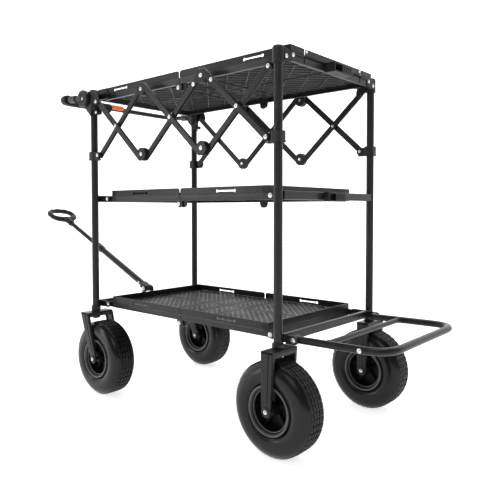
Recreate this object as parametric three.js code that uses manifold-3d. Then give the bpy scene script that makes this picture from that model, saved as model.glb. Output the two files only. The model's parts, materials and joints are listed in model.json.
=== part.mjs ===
// Folding three-tier camp wagon: a steel frame on four wide wheels, two end frames joined by
// three folding shelves and by a scissor lattice on each side.
// Millimetres, +Z up, floor at z = 0. +X runs along the wagon towards the cargo extension,
// -X towards the pull handle, Y across. Lengths are first laid out about the middle of the four
// posts; the whole group is then moved by CENTRE_SHIFT so that its box is centred on the origin.

import * as THREE from 'three';
import { mergeVertices } from 'three/addons/utils/BufferGeometryUtils.js';
import Module from 'manifold-3d';

// ---------------------------------------------------------------- driving dimensions
const CENTRE_SHIFT = 198.6;

const POST_X = 435;               // post axis, along the wagon
const POST_Y = 252;               // post axis, across
const POST_R = 12.5;
const POST_TOP = 1115;
const POST_FOOT = 302;
const SLEEVE_R = 16.5;            // corner sleeves and sliding collars
const SLEEVE_LOW = 1075;          // corner sleeves run between these two heights
const SLEEVE_HIGH = 1113;

const LEVELS = { bottom: 322, mid: 715, top: 1095 };   // shelf pivot heights

const WHEEL_R = 133;
const TYRE_W = 93;
const RIM_R = 70;
const AXLE_R = 6;
const FRONT_AXLE_X = -377;        // the casters trail 58 mm behind their swivels
const REAR_AXLE_X = 436;
const YOKE_TOP = 296;
const YOKE_T = 8;
const YOKE_BACK = 17;             // yoke reach from the post towards -X
const YOKE_AHEAD = 27;            // and towards +X
const YOKE_HALF = 54;             // half the outside width of a fork
const FORK_T = 5;
const SWIVEL_R = 16;

const SHELF_Y = 220;              // outer face of the long rims
const SHEET = 3;                  // rim and deck sheet
const RIM_UP = 30;                // rim top above the pivot line
const RIM_DOWN = 12;              // rim foot below the pivot line
const DECK_UP = 7;                // deck surface above the pivot line
const OVERHANG = 30;              // the top shelf runs this far past its end pivots
const SHELF_END = 374;            // end rim of the lower two shelves
const PIVOT_X = 390;              // end pivots of every shelf
const HINGE_DROP = 24;            // middle hinge below the end pivots
const EAR_T = 5;                  // thickness of the middle hinge ears
const LUG_LOW = 226;              // lugs of the cross bars lie between these two values of y
const LUG_HIGH = 231;
const TRAY_LIP = 18;              // fixed tray ends reach this far past the posts
const TRAY_Y = 222.5;
const TOP_SLOT = [282, 352];      // lashing slots, along the wagon
const LOWER_SLOT = [170, 243];
const SLOT_BELOW_RIM = 13;
const PIN_R = 4;
const PIN_GAP = 0.5;

const PHI = THREE.MathUtils.degToRad(41.7);   // slope of the lattice bars when open
const ARM_OUT = 146;              // pin to crossing, on the post side
const ARM_IN = 180.8;             // crossing to hub, along the bar
const HUB_OFF = 15;               // hub pivot off the bar's centre line
const LATTICE_Z = 971;
const BAR_W = 20;
const BAR_T = 9;
const HUB_R = 21;
const LAYER_A = 259;              // outer layer of bars, middle plane
const LAYER_B = 248;              // inner layer
const GAP = 0.3;
const REAR_FLANGE = [236.5, 241.5];   // rear corner flanges lie inside the lattice,
const FRONT_FLANGE = [265, 270];      // front ones outside it

// sides of the round sections
const PIN_SIDES = 8;
const POST_SIDES = 16;
const HUB_SIDES = 14;
const ARC_STEPS = 4;
const WHEEL_SIDES = 24;

// distances along the pull handle run from its pivot
const PULL_PIVOT = [-447, 353];
const PULL_TILT = THREE.MathUtils.degToRad(24.2);
const PULL_TUBE_END = 375;
const PULL_COLLAR = [349, 392];
const PULL_INNER_R = 9.5;
const PULL_NECK = [622, 674];
const PULL_NECK_R = 14;
const LOOP_AT = 717;              // middle of the grip's loop
const LOOP_LONG = 47;             // half axes of its centre line
const LOOP_WIDE = 57;
const LOOP_R = 11;

const PUSH_PIVOT = [-466, 1086];
const PUSH_REACH = 148;
const PUSH_RISE = 11;             // the outer bar stands this much higher than its joints
const PUSH_TIP = [PUSH_PIVOT[0] - PUSH_REACH, PUSH_PIVOT[1] + PUSH_RISE];
const PUSH_Y = 280;
const PUSH_R = 9;
const FOAM_R = 17.5;
const PUSH_DISC_R = 31;
const TAB_Y = [-58, 4];           // release tab, beside the foam sleeve
const TAB_R = 11.5;

const EXT_PIVOT = [472, 318];
const EXT_END = 757;
const EXT_RISE = 5.5;               // the outer end stands this much higher
const EXT_Y = 214;
const EXT_R = 12;
const EXT_BRACE_X = 566;
const LATCH_MID = 466;
const LATCH_TOP = 486;
const LATCH_HALF = 50;

// ---------------------------------------------------------------- materials
function finish(color, roughness, metalness) {
  return new THREE.MeshStandardMaterial({ color, roughness, metalness });
}

const steel = () => finish(0x1b1b1c, 0.45, 0.6);
const plastic = () => finish(0x141415, 0.55, 0.0);
const rubber = () => finish(0x101010, 0.7, 0.0);
const foam = () => finish(0x1a1a1a, 0.95, 0.0);
const orange = () => finish(0xff7a2e, 0.45, 0.0);

// ---------------------------------------------------------------- solids
const wasm = await Module();
wasm.setup();

function toSolid(geometry) {
  const bare = geometry.clone();
  bare.deleteAttribute('normal');
  bare.deleteAttribute('uv');
  const merged = mergeVertices(bare, 1e-4);
  const mesh = new wasm.Mesh({
    numProp: 3,
    vertProperties: new Float32Array(merged.attributes.position.array),
    triVerts: new Uint32Array(merged.index.array),
  });
  return new wasm.Manifold(mesh);
}

function toGeometry(solid) {
  const mesh = solid.getMesh();
  const geometry = new THREE.BufferGeometry();
  const positions = new Float32Array(mesh.vertProperties);
  geometry.setAttribute('position', new THREE.BufferAttribute(positions, 3));
  geometry.setIndex(new THREE.BufferAttribute(new Uint32Array(mesh.triVerts), 1));
  geometry.computeVertexNormals();
  return geometry;
}

const solidOf = (part) => (part.isBufferGeometry ? toSolid(part) : part);
const join = (...parts) => parts.map(solidOf).reduce((a, b) => a.add(b));
const cut = (body, ...tools) => tools.map(solidOf).reduce((a, b) => a.subtract(b), solidOf(body));

// A box from its low and high corners.
function block(x0, x1, y0, y1, z0, z1) {
  const [lx, hx] = [Math.min(x0, x1), Math.max(x0, x1)];
  const [ly, hy] = [Math.min(y0, y1), Math.max(y0, y1)];
  const geometry = new THREE.BoxGeometry(hx - lx, hy - ly, z1 - z0);
  return geometry.translate((lx + hx) / 2, (ly + hy) / 2, (z0 + z1) / 2);
}

// A round rod between two points.
function rod(from, to, radius, sides = 24) {
  const a = new THREE.Vector3(...from);
  const b = new THREE.Vector3(...to);
  const geometry = new THREE.CylinderGeometry(radius, radius, a.distanceTo(b), sides);
  const along = b.clone().sub(a).normalize();
  const turn = new THREE.Quaternion().setFromUnitVectors(new THREE.Vector3(0, 1, 0), along);
  const middle = a.clone().add(b).multiplyScalar(0.5);
  return geometry.applyQuaternion(turn).translate(middle.x, middle.y, middle.z);
}

// A round rod across the wagon, between two values of y.
function pinRod([x, z], y0, y1, radius = PIN_R, sides = PIN_SIDES) {
  return rod([x, y0, z], [x, y1, z], radius, sides);
}

// A flat plate whose outline lies in the XZ plane, between two values of y.
function plate(points, y0, y1) {
  const outline = points instanceof THREE.Shape ? points : polygon(points);
  const depth = Math.abs(y1 - y0);
  const options = { depth, bevelEnabled: false, curveSegments: ARC_STEPS };
  // the outline's second axis becomes Z and the extrusion runs towards -Y
  const geometry = new THREE.ExtrudeGeometry(outline, options).rotateX(Math.PI / 2);
  return geometry.translate(0, Math.max(y0, y1), 0);
}

function polygon(points) {
  return new THREE.Shape(points.map(([x, z]) => new THREE.Vector2(x, z)));
}

// A stadium outline with round ends, from one point to another.
function stadium([x0, z0], [x1, z1], radius) {
  const along = Math.atan2(z1 - z0, x1 - x0);
  const shape = new THREE.Shape();
  shape.absarc(x0, z0, radius, along + Math.PI / 2, along + 1.5 * Math.PI, false);
  shape.absarc(x1, z1, radius, along - Math.PI / 2, along + Math.PI / 2, false);
  shape.closePath();
  return shape;
}

// A tube of round section along straight runs with rounded corners.
function bentTube(corners, radius, bend, sides = 12, arcSteps = 5, flat = 1) {
  const points = corners.map((c) => new THREE.Vector3(...c));
  const route = [points[0]];
  for (let i = 1; i < points.length - 1; i += 1) {
    const back = points[i - 1].clone().sub(points[i]).normalize();
    const ahead = points[i + 1].clone().sub(points[i]).normalize();
    const start = points[i].clone().addScaledVector(back, bend);
    const stop = points[i].clone().addScaledVector(ahead, bend);
    const curve = new THREE.QuadraticBezierCurve3(start, points[i], stop);
    route.push(...curve.getPoints(arcSteps));
  }
  route.push(points[points.length - 1]);
  return sweep(route, radius, sides, flat);
}

// A closed tube through a list of points, with mitred rings; flat squeezes it in Z.
function sweep(route, radius, sides, flat = 1) {
  const rings = [];
  const up = new THREE.Vector3(0, 0, 1);
  route.forEach((point, i) => {
    const before = route[Math.max(i - 1, 0)];
    const after = route[Math.min(i + 1, route.length - 1)];
    const along = after.clone().sub(before).normalize();
    const side = new THREE.Vector3().crossVectors(along, up).normalize();
    const lift = new THREE.Vector3().crossVectors(side, along);
    const ring = [];
    for (let k = 0; k < sides; k += 1) {
      const angle = (2 * Math.PI * k) / sides;
      ring.push(point.clone()
        .addScaledVector(side, radius * Math.cos(angle))
        .addScaledVector(lift, radius * flat * Math.sin(angle)));
    }
    rings.push(ring);
  });
  const positions = rings.flat();
  const first = positions.length;
  positions.push(route[0], route[route.length - 1]);
  const index = [];
  for (let r = 0; r < rings.length - 1; r += 1) {
    for (let k = 0; k < sides; k += 1) {
      const a = r * sides + k;
      const b = r * sides + ((k + 1) % sides);
      index.push(a, b, b + sides, a, b + sides, a + sides);
    }
  }
  const tail = (rings.length - 1) * sides;
  for (let k = 0; k < sides; k += 1) {
    index.push(first, (k + 1) % sides, k);
    index.push(first + 1, tail + k, tail + ((k + 1) % sides));
  }
  const geometry = new THREE.BufferGeometry();
  const numbers = positions.flatMap((p) => [p.x, p.y, p.z]);
  geometry.setAttribute('position', new THREE.Float32BufferAttribute(numbers, 3));
  geometry.setIndex(index);
  return toSolid(geometry).volume() < 0 ? flipped(geometry) : geometry;
}

function flipped(geometry) {
  const out = geometry.clone();
  const order = Array.from(out.index.array);
  for (let i = 0; i < order.length; i += 3) [order[i], order[i + 1]] = [order[i + 1], order[i]];
  out.setIndex(order);
  return out;
}

// ---------------------------------------------------------------- the group
const wagon = new THREE.Group();
wagon.position.x = CENTRE_SHIFT;

function place(name, shape, material, position = [0, 0, 0], parent = wagon) {
  const mesh = new THREE.Mesh(shape.isBufferGeometry ? shape : toGeometry(shape), material);
  mesh.name = name;
  mesh.position.set(...position);
  parent.add(mesh);
  return mesh;
}

const ENDS = [['front', -1], ['rear', 1]];
const SIDES = [['left', -1], ['right', 1]];

// ---------------------------------------------------------------- posts, sleeves, cross bars
// A body turned about Y from radius and height pairs.
function turned(profile, sides) {
  return new THREE.LatheGeometry(profile.map(([r, y]) => new THREE.Vector2(r, y)), sides);
}

function post(ex) {
  const foot = ex > 0 ? YOKE_TOP + GAP : POST_FOOT;
  const profile = [
    [0, foot], [POST_R, foot], [POST_R, POST_TOP - 4], [POST_R - 3, POST_TOP], [0, POST_TOP],
  ];
  return turned(profile, POST_SIDES).rotateX(Math.PI / 2);
}

function crossBar(ex, level) {
  const z = LEVELS[level];
  const outer = ex * (POST_X + POST_R);
  const inner = ex * POST_X;
  const reach = POST_Y - (level === 'top' ? SLEEVE_R : POST_R) - GAP;
  const parts = [block(inner, outer, -reach, reach, z - 12, z + 12)];
  for (const [, sy] of SIDES) {
    const [near, far] = [ex * (PIVOT_X - 10), ex * (POST_X + 4)];
    parts.push(block(near, far, sy * LUG_LOW, sy * LUG_HIGH, z - 11, z + 11));
    parts.push(pinRod([ex * PIVOT_X, z], sy * (SHELF_Y - 5), sy * (LUG_LOW + 2)));
  }
  if (ex > 0 && level !== 'bottom') {
    // latch block that holds the extension frame and doubles as a lifting grip
    const proud = level === 'top' ? LATCH_TOP : LATCH_MID;
    parts.push(block(POST_X + POST_R - 1, proud, -LATCH_HALF, LATCH_HALF, z - 16, z + 12));
  }
  if (ex > 0 && level === 'bottom') {
    for (const [, sy] of SIDES) {
      // cheek and pin for one arm of the extension frame
      const [px, pz] = EXT_PIVOT;
      const cheek = [sy * (EXT_Y + 14), sy * (EXT_Y + 19)];
      parts.push(block(POST_X + POST_R - 2, px + 13, ...cheek, pz - 12, pz + 13));
      parts.push(pinRod(EXT_PIVOT, sy * (EXT_Y - 14), sy * (EXT_Y + 16), 5));
    }
  }
  if (level === 'top') {
    // fixed tray end that closes the top shelf over the cross bar
    const lip = ex * (POST_X + TRAY_LIP);
    const inside = ex * (POST_X + TRAY_LIP - SHEET);
    parts.push(block(lip, inside, -TRAY_Y, TRAY_Y, z + 5, z + RIM_UP));
    parts.push(block(lip, ex * POST_X, -TRAY_Y, TRAY_Y, z + 10, z + 10 + SHEET));
    for (const [, sy] of SIDES) {
      const [low, high] = [sy * (TRAY_Y - SHEET), sy * TRAY_Y];
      parts.push(block(lip, ex * POST_X, low, high, z + 5, z + RIM_UP));
    }
  }
  return join(...parts);
}

// Corner sleeve over a post top, with the flange that carries the first lattice bar. The front
// ones also reach outwards to the push handle's round joint.
function topBracket(ex, sy) {
  const [postX, postY] = [ex * POST_X, sy * POST_Y];
  const sleeve = rod([postX, postY, SLEEVE_LOW], [postX, postY, SLEEVE_HIGH], SLEEVE_R, POST_SIDES);
  const parts = [sleeve];
  const [px, pz] = [ex * pinX, LATTICE_Z + pinZ];
  if (ex > 0) {
    const [low, high] = REAR_FLANGE.map((y) => sy * y);
    const outline = [[px - 9, pz - 11], [px - 11, pz + 2], [px + 4, SLEEVE_HIGH],
      [postX, SLEEVE_HIGH], [postX, SLEEVE_LOW], [px + 12, pz - 11]];
    parts.push(plate(outline, low, high));
    parts.push(pinRod([px, pz], low, sy * (LAYER_B + BAR_T / 2 - 1)));
    parts.push(block(postX - 12, postX + 12, low, high, SLEEVE_LOW, SLEEVE_HIGH));
  } else {
    const [low, high] = FRONT_FLANGE.map((y) => sy * y);
    const [cx, cz] = PUSH_PIVOT;
    const outline = [[cx - 4, cz + 26], [postX + 10, cz + 24], [postX + 42, cz + 20],
      [px + 18, pz + 12], [px + 18, pz - 7], [px - 4, pz - 12], [postX + 12, pz - 18],
      [postX + 4, cz - 70], [postX - 31, cz - 36], [cx - 16, cz - 20]];
    parts.push(plate(outline, low, high));
    parts.push(pinRod([px, pz], low, sy * (LAYER_A - BAR_T / 2 + 1)));
    parts.push(pinRod(PUSH_PIVOT, sy * 262, high, PUSH_DISC_R - 5, 24));
  }
  return cut(join(...parts), postBore(postX, postY));
}

function postBore(x, y) {
  return rod([x, y, 0], [x, y, POST_TOP + 100], POST_R + GAP, POST_SIDES);
}

// ---------------------------------------------------------------- lattice
const nodeX = ARM_IN * Math.cos(PHI) + HUB_OFF * Math.sin(PHI);
const pinX = 2 * nodeX + ARM_OUT * Math.cos(PHI);
const pinZ = ARM_OUT * Math.sin(PHI);

// A bar with its crossing at the origin, lying along +X: a pin hole at the post end and an
// offset hub at the other, or a hub at both ends when it crosses in the middle of the side.
// pins lists the places of the pins that the bar carries towards the inner layer; every other
// pivot is a hole, except those in blank, where the lattice is left open.
function latticeBar(middle, offset, sy, pins, blank) {
  const half = BAR_T / 2;
  const places = {
    far: middle ? [-ARM_IN, -offset] : [-ARM_OUT, 0],
    cross: [0, 0],
    hub: [ARM_IN, offset],
  };
  const start = middle ? [-ARM_IN + 4, 0] : places.far;
  const parts = [
    plate(stadium(start, [ARM_IN - 4, 0], BAR_W / 2), -half, half),
    pinRod(places.hub, -half, half, HUB_R, HUB_SIDES),
  ];
  if (middle) parts.push(pinRod(places.far, -half, half, HUB_R, HUB_SIDES));
  const holes = [];
  for (const [key, at] of Object.entries(places)) {
    if (pins.includes(key)) {
      parts.push(pinRod(at, 0, -sy * (half + LAYER_A - LAYER_B)));
    } else if (!blank.includes(key)) {
      holes.push(pinRod(at, -BAR_T, BAR_T, PIN_R + PIN_GAP));
    }
  }
  return cut(join(...parts), ...holes);
}

function lattice(side, sy) {
  // kind A slopes down towards +X in the outer layer, kind B up in the inner layer; the third
  // crossing is the first one turned round, so its hubs point back towards the middle
  const bars = [
    ['a1', -2 * nodeX, -1, LAYER_A, ['cross', 'hub'], []],
    ['b1', -2 * nodeX, 1, LAYER_B, [], []],
    ['a2', 0, -1, LAYER_A, ['cross', 'far'], ['hub']],
    ['b2', 0, 1, LAYER_B, [], ['hub']],
    ['a3', 2 * nodeX, -1, LAYER_A, ['cross'], ['hub']],
    ['b3', 2 * nodeX, 1, LAYER_B, [], ['hub']],
  ];
  for (const [name, x, slope, layer, pins, blank] of bars) {
    const middle = name.endsWith('2');
    const reversed = name.endsWith('3');
    const bar = latticeBar(middle, -slope * HUB_OFF, sy, pins, blank);
    const mesh = place(`bar_${side}_${name}`, bar, steel(), [x, sy * layer, LATTICE_Z]);
    mesh.rotation.y = -slope * PHI + (reversed ? Math.PI : 0);
  }
}

// Sliding collar with the ear that carries the lower end of the outermost bar.
function collar(ex, sy) {
  const z = LATTICE_Z - pinZ;
  const [postX, postY] = [ex * POST_X, sy * POST_Y];
  const pin = [ex * pinX, z];
  const ring = rod([postX, postY, z - 15], [postX, postY, z + 15], SLEEVE_R, POST_SIDES);
  // rear collars carry an outer bar on an inner ear, front ones the other way round
  const outerBar = ex > 0;
  const ear = outerBar ? [LAYER_B - 6, LAYER_B + BAR_T / 2 + 0.5] : [LAYER_A - 4, LAYER_A + 6];
  const stub = outerBar
    ? pinRod(pin, sy * LAYER_B, sy * (LAYER_A + BAR_T / 2 - 1))
    : pinRod(pin, sy * LAYER_A, sy * (LAYER_B - BAR_T / 2 + 1));
  const arm = block(ex * (pinX - 10), postX, sy * ear[0], sy * ear[1], z - 12, z + 12);
  return cut(join(ring, arm, stub), postBore(postX, postY));
}

// ---------------------------------------------------------------- shelves
// One half of a shelf, from its end pivot to the middle hinge. ex is -1 for the front half,
// which carries the hinge pins in its outer ears; the rear half turns on them.
function shelfHalf(ex, level) {
  const z = LEVELS[level];
  const top = level === 'top';
  const front = ex < 0;
  const low = z - RIM_DOWN;
  const high = z + RIM_UP;
  const end = top ? ex * (PIVOT_X + OVERHANG) : ex * SHELF_END;
  const deckEdge = SHELF_Y - 1;
  const parts = [block(ex, end, -deckEdge, deckEdge, z + DECK_UP - SHEET, z + DECK_UP)];
  if (!top) parts.push(block(end, end - ex * SHEET, -SHELF_Y, SHELF_Y, low, high));
  const hinge = [0, z - HINGE_DROP];
  const earIn = front ? SHELF_Y - 9 : SHELF_Y - 15;
  for (const [, sy] of SIDES) {
    const [inner, outer] = [sy * (SHELF_Y - SHEET), sy * SHELF_Y];
    parts.push(block(ex, end, inner, outer, low, high));
    const tongue = stadium([ex * (SHELF_END - 12), z], [ex * PIVOT_X, z], 10);
    if (!top) parts.push(plate(tongue, inner, outer));
    parts.push(plate(stadium(hinge, [ex * 14, z + 2], 8), sy * earIn, sy * (earIn + EAR_T)));
    if (front) parts.push(pinRod(hinge, sy * (SHELF_Y - 16), sy * (SHELF_Y - 5)));
  }
  const holes = [];
  for (const [, sy] of SIDES) {
    const [near, far] = [sy * (SHELF_Y - 30), sy * (SHELF_Y + 10)];
    holes.push(pinRod([ex * PIVOT_X, z], near, far, PIN_R + PIN_GAP));
    if (!front) holes.push(pinRod(hinge, near, far, PIN_R + PIN_GAP));
    // dog-bone lashing slot: a narrow slot with a round hole at each end
    const slotZ = z + RIM_UP - SLOT_BELOW_RIM;
    const [s0, s1] = (top ? TOP_SLOT : LOWER_SLOT).map((x) => ex * x);
    holes.push(block(s0, s1, near, far, slotZ - 2.5, slotZ + 2.5));
    for (const x of [s0, s1]) holes.push(pinRod([x, slotZ], near, far, 5, 6));
  }
  const body = cut(join(...parts), ...holes);
  if (!top) return body;
  // the outer corner clears the cross bar as the half turns about its pivot
  const wide = SHELF_Y + 80;
  const round = pinRod([ex * PIVOT_X, z], -wide, wide, Math.hypot(RIM_UP, OVERHANG), 24);
  return body.intersect(join(round, block(-8 * ex, ex * PIVOT_X, -wide, wide, z - 100, z + 100)));
}

// ---------------------------------------------------------------- wheels and forks
function mirroredRing(half, sides) {
  const other = half.map(([r, y]) => [r, -y]).reverse();
  return turned([...half, ...other, half[0]], sides);
}

function tyre() {
  const r = WHEEL_R;
  const w = TYRE_W / 2;
  return mirroredRing([
    [RIM_R, 4 - w], [RIM_R + 8, 1 - w], [RIM_R + 22, -w], [r - 20, -w],
    [r - 7, 2 - w], [r - 2, 6 - w], [r, 12 - w],
  ], WHEEL_SIDES);
}

// Dished disc on both sides with a hub and a rolled lip beside the tyre.
function rim() {
  const r = RIM_R - GAP;
  const w = TYRE_W / 2;
  return mirroredRing([
    [AXLE_R + 0.4, 6 - w], [20, 6 - w], [22, 28 - w], [r - 10, 28 - w], [r - 4, 1 - w], [r, 1 - w],
  ], WHEEL_SIDES);
}

// A fork: yoke plate, two legs and the axle bolt through them. The legs run from the yoke down
// to the axle, which lies trail millimetres along X from the post.
function fork(postX, postY, trail, swivels) {
  const [axleX, axleZ] = [postX + trail, WHEEL_R];
  const [x0, x1] = [postX - YOKE_BACK, postX + YOKE_AHEAD];
  const parts = [block(x0, x1, postY - YOKE_HALF, postY + YOKE_HALF, YOKE_TOP - YOKE_T, YOKE_TOP)];
  const leg = [
    [axleX - 16, axleZ + 4], [axleX - 10, axleZ - 12], [axleX + 10, axleZ - 12], [axleX + 16, axleZ + 4],
    [x1, YOKE_TOP], [x0, YOKE_TOP],
  ];
  for (const side of [-1, 1]) {
    const outer = postY + side * YOKE_HALF;
    parts.push(plate(leg, outer - side * FORK_T, outer));
  }
  const bolt = YOKE_HALF - 1;
  parts.push(pinRod([axleX, axleZ], postY - bolt, postY + bolt, AXLE_R, 20));
  const [swivelLow, swivelHigh] = [YOKE_TOP - 2, POST_FOOT - GAP];
  if (swivels) parts.push(rod([postX, postY, swivelLow], [postX, postY, swivelHigh], SWIVEL_R, 20));
  return join(...parts);
}

// ---------------------------------------------------------------- handles and extension
// The point on the pull handle's middle line, s millimetres from its pivot.
function pullPoint(s) {
  const [x, z] = PULL_PIVOT;
  return [x - s * Math.cos(PULL_TILT), 0, z + s * Math.sin(PULL_TILT)];
}

function pullLower() {
  const body = join(
    rod(pullPoint(10), pullPoint(PULL_TUBE_END), POST_R, 20),
    rod(pullPoint(PULL_COLLAR[0]), pullPoint(PULL_COLLAR[1]), 15.5, 20),
    pinRod(PULL_PIVOT, -16, 16, 13, 20),
  );
  const hollow = rod(pullPoint(28), pullPoint(PULL_COLLAR[1] + 20), PULL_INNER_R + 0.4, 20);
  return cut(body, hollow, pinRod(PULL_PIVOT, -30, 30, 5.5, 16));
}

function pullUpper() {
  return rod(pullPoint(280), pullPoint(PULL_NECK[0] + 16), PULL_INNER_R, 20);
}

function pullGrip() {
  const route = [];
  const steps = 22;
  for (let i = 0; i < steps; i += 1) {
    const angle = Math.PI + (2 * Math.PI * i) / steps;
    const [x, , z] = pullPoint(LOOP_AT + LOOP_LONG * Math.cos(angle));
    route.push(new THREE.Vector3(x, LOOP_WIDE * Math.sin(angle), z));
  }
  const neck = rod(pullPoint(PULL_NECK[0]), pullPoint(PULL_NECK[1]), PULL_NECK_R, 20);
  const [mouth, seat] = [pullPoint(PULL_NECK[0] - 50), pullPoint(PULL_NECK[0] + 16 + GAP)];
  const socket = rod(mouth, seat, PULL_INNER_R + GAP, 20);
  return join(ring(route, LOOP_R, 8), cut(neck, socket));
}

// A closed loop of round section through points that lie in one plane.
function ring(points, radius, sides) {
  const count = points.length;
  const centre = new THREE.Vector3();
  for (const point of points) centre.addScaledVector(point, 1 / count);
  const quarter = points[Math.floor(count / 4)].clone().sub(centre);
  const normal = new THREE.Vector3().crossVectors(points[0].clone().sub(centre), quarter).normalize();
  const positions = [];
  const index = [];
  points.forEach((point, i) => {
    const along = points[(i + 1) % count].clone().sub(points[(i + count - 1) % count]).normalize();
    const side = new THREE.Vector3().crossVectors(along, normal).normalize();
    for (let k = 0; k < sides; k += 1) {
      const angle = (2 * Math.PI * k) / sides;
      const p = point.clone()
        .addScaledVector(side, radius * Math.cos(angle))
        .addScaledVector(normal, radius * Math.sin(angle));
      positions.push(p.x, p.y, p.z);
      const a = i * sides + k;
      const b = i * sides + ((k + 1) % sides);
      const c = ((i + 1) % count) * sides + k;
      const d = ((i + 1) % count) * sides + ((k + 1) % sides);
      index.push(a, b, d, a, d, c);
    }
  });
  const geometry = new THREE.BufferGeometry();
  geometry.setAttribute('position', new THREE.Float32BufferAttribute(positions, 3));
  geometry.setIndex(index);
  return toSolid(geometry).volume() < 0 ? flipped(geometry) : geometry;
}

// Saddle on the front bottom cross bar: a bent strap with two cheeks and the pivot bolt.
function pullBracket() {
  const [x, z] = PULL_PIVOT;
  const seat = LEVELS.bottom + 12 + GAP;
  const face = -(POST_X + POST_R) - GAP;
  const strap = join(
    block(-POST_X + 0.5, face - 1.2, -26, 26, seat, seat + 3),
    block(face, face - 3.2, -26, 26, seat - 20, seat + 1),
  );
  const cheek = [
    [x + 12, seat + 1], [x + 12, z - 4], [x + 6, z + 8], [x - 6, z + 8], [x - 12, z + 1], [x - 8, seat + 1],
  ];
  const cheeks = [-1, 1].map((sy) => plate(cheek, sy * 17, sy * 22));
  return join(strap, ...cheeks, pinRod(PULL_PIVOT, -20, 20, 5, 16));
}

function pushBar() {
  const [x, z] = PUSH_PIVOT;
  const [tip, high] = PUSH_TIP;
  const corners = [[x, -PUSH_Y, z], [tip, -PUSH_Y, high], [tip, PUSH_Y, high], [x, PUSH_Y, z]];
  const bar = bentTube(corners, PUSH_R, 46, 10, 5);
  const [discIn, discOut] = [FRONT_FLANGE[1] + 0.5, FRONT_FLANGE[1] + 15];
  const discs = [-1, 1].map((sy) => pinRod(PUSH_PIVOT, sy * discIn, sy * discOut, PUSH_DISC_R, 24));
  return join(bar, ...discs);
}

function pushGrip() {
  const foam = pinRod(PUSH_TIP, 52 - PUSH_Y, TAB_Y[0] - 2, FOAM_R, 20);
  return cut(foam, pinRod(PUSH_TIP, -400, 400, PUSH_R + GAP, 20));
}

function releaseTab() {
  const [tip, z] = PUSH_TIP;
  const lever = block(tip + 4, tip + 17, TAB_Y[0] + 4, TAB_Y[1] - 4, z - 2, z + 12);
  const body = join(pinRod(PUSH_TIP, ...TAB_Y, TAB_R, 20), lever);
  return cut(body, pinRod(PUSH_TIP, -400, 400, PUSH_R + GAP, 20));
}

function extensionFrame() {
  const [x, z] = EXT_PIVOT;
  const y = EXT_Y;
  const far = EXT_END - EXT_R;
  const corners = [[x, -y, z], [far, -y, z + EXT_RISE], [far, y, z + EXT_RISE], [x, y, z]];
  const tube = bentTube(corners, EXT_R, 70, 12, 6, 0.85);
  const braceZ = z + (EXT_RISE * (EXT_BRACE_X - x)) / (far - x);
  const brace = pinRod([EXT_BRACE_X, braceZ], -y, y, 8, 12);
  const eyes = [-1, 1].map((sy) => pinRod(EXT_PIVOT, sy * (y - 12), sy * (y + 12), 12, 14));
  return cut(join(tube, brace, ...eyes), pinRod(EXT_PIVOT, -300, 300, 5.6, 10));
}

// ---------------------------------------------------------------- assembly
for (const [end, ex] of ENDS) {
  for (const [side, sy] of SIDES) {
    place(`post_${end}_${side}`, post(ex), steel(), [ex * POST_X, sy * POST_Y, 0]);
    place(`bracket_${end}_${side}`, topBracket(ex, sy), plastic());
    place(`collar_${end}_${side}`, collar(ex, sy), plastic());
  }
  for (const level of Object.keys(LEVELS)) {
    place(`bar_${end}_${level}`, crossBar(ex, level), steel());
    place(`shelf_${level}_${end}`, shelfHalf(ex, level), steel());
  }
}
for (const [side, sy] of SIDES) lattice(side, sy);

for (const [end, ex] of ENDS) {
  for (const [side, sy] of SIDES) {
    const swivels = ex < 0;
    const axleX = swivels ? FRONT_AXLE_X : REAR_AXLE_X;
    place(`fork_${end}_${side}`, fork(ex * POST_X, sy * POST_Y, axleX - ex * POST_X, swivels), steel());
    place(`tyre_${end}_${side}`, tyre(), rubber(), [axleX, sy * POST_Y, WHEEL_R]);
    place(`rim_${end}_${side}`, rim(), plastic(), [axleX, sy * POST_Y, WHEEL_R]);
  }
}

place('pull_bracket', pullBracket(), steel());
place('pull_lower_tube', pullLower(), steel());
place('pull_upper_tube', pullUpper(), steel());
place('pull_grip', pullGrip(), plastic());
place('push_bar', pushBar(), steel());
place('push_grip', pushGrip(), foam());
place('release_tab', releaseTab(), orange());
place('extension_frame', extensionFrame(), steel());

export default wagon;
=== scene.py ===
import json
import math

import bmesh
import bpy
from mathutils import Matrix, Vector
from mathutils.geometry import tessellate_polygon


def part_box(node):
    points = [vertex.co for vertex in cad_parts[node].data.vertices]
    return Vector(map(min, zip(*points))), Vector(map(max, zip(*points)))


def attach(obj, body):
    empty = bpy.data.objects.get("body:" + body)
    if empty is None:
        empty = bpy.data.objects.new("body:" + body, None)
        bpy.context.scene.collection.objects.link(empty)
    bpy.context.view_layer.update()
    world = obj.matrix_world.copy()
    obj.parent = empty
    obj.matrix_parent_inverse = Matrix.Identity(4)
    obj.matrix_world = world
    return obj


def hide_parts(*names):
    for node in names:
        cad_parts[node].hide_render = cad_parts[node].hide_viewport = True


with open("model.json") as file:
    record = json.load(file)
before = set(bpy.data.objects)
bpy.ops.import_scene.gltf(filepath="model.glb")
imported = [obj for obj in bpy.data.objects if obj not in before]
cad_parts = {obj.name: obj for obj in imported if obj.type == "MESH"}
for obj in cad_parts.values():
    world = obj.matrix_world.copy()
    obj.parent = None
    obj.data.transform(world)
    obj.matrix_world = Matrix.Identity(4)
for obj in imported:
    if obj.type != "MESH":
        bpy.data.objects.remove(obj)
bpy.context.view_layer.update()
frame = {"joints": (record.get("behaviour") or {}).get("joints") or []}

# ---------------------------------------------------------------- sizes taken from the frame
# Shapes are laid out in millimetres from the floor point in the middle of the four posts, with the
# frame's own directions; piece() turns them into metres in the frame.
MM = 0.001
ENDS = {"front": -1, "rear": 1}
SIDES = {"left": -1, "right": 1}
JOINTS = {joint["name"]: joint for joint in frame["joints"]}


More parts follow.
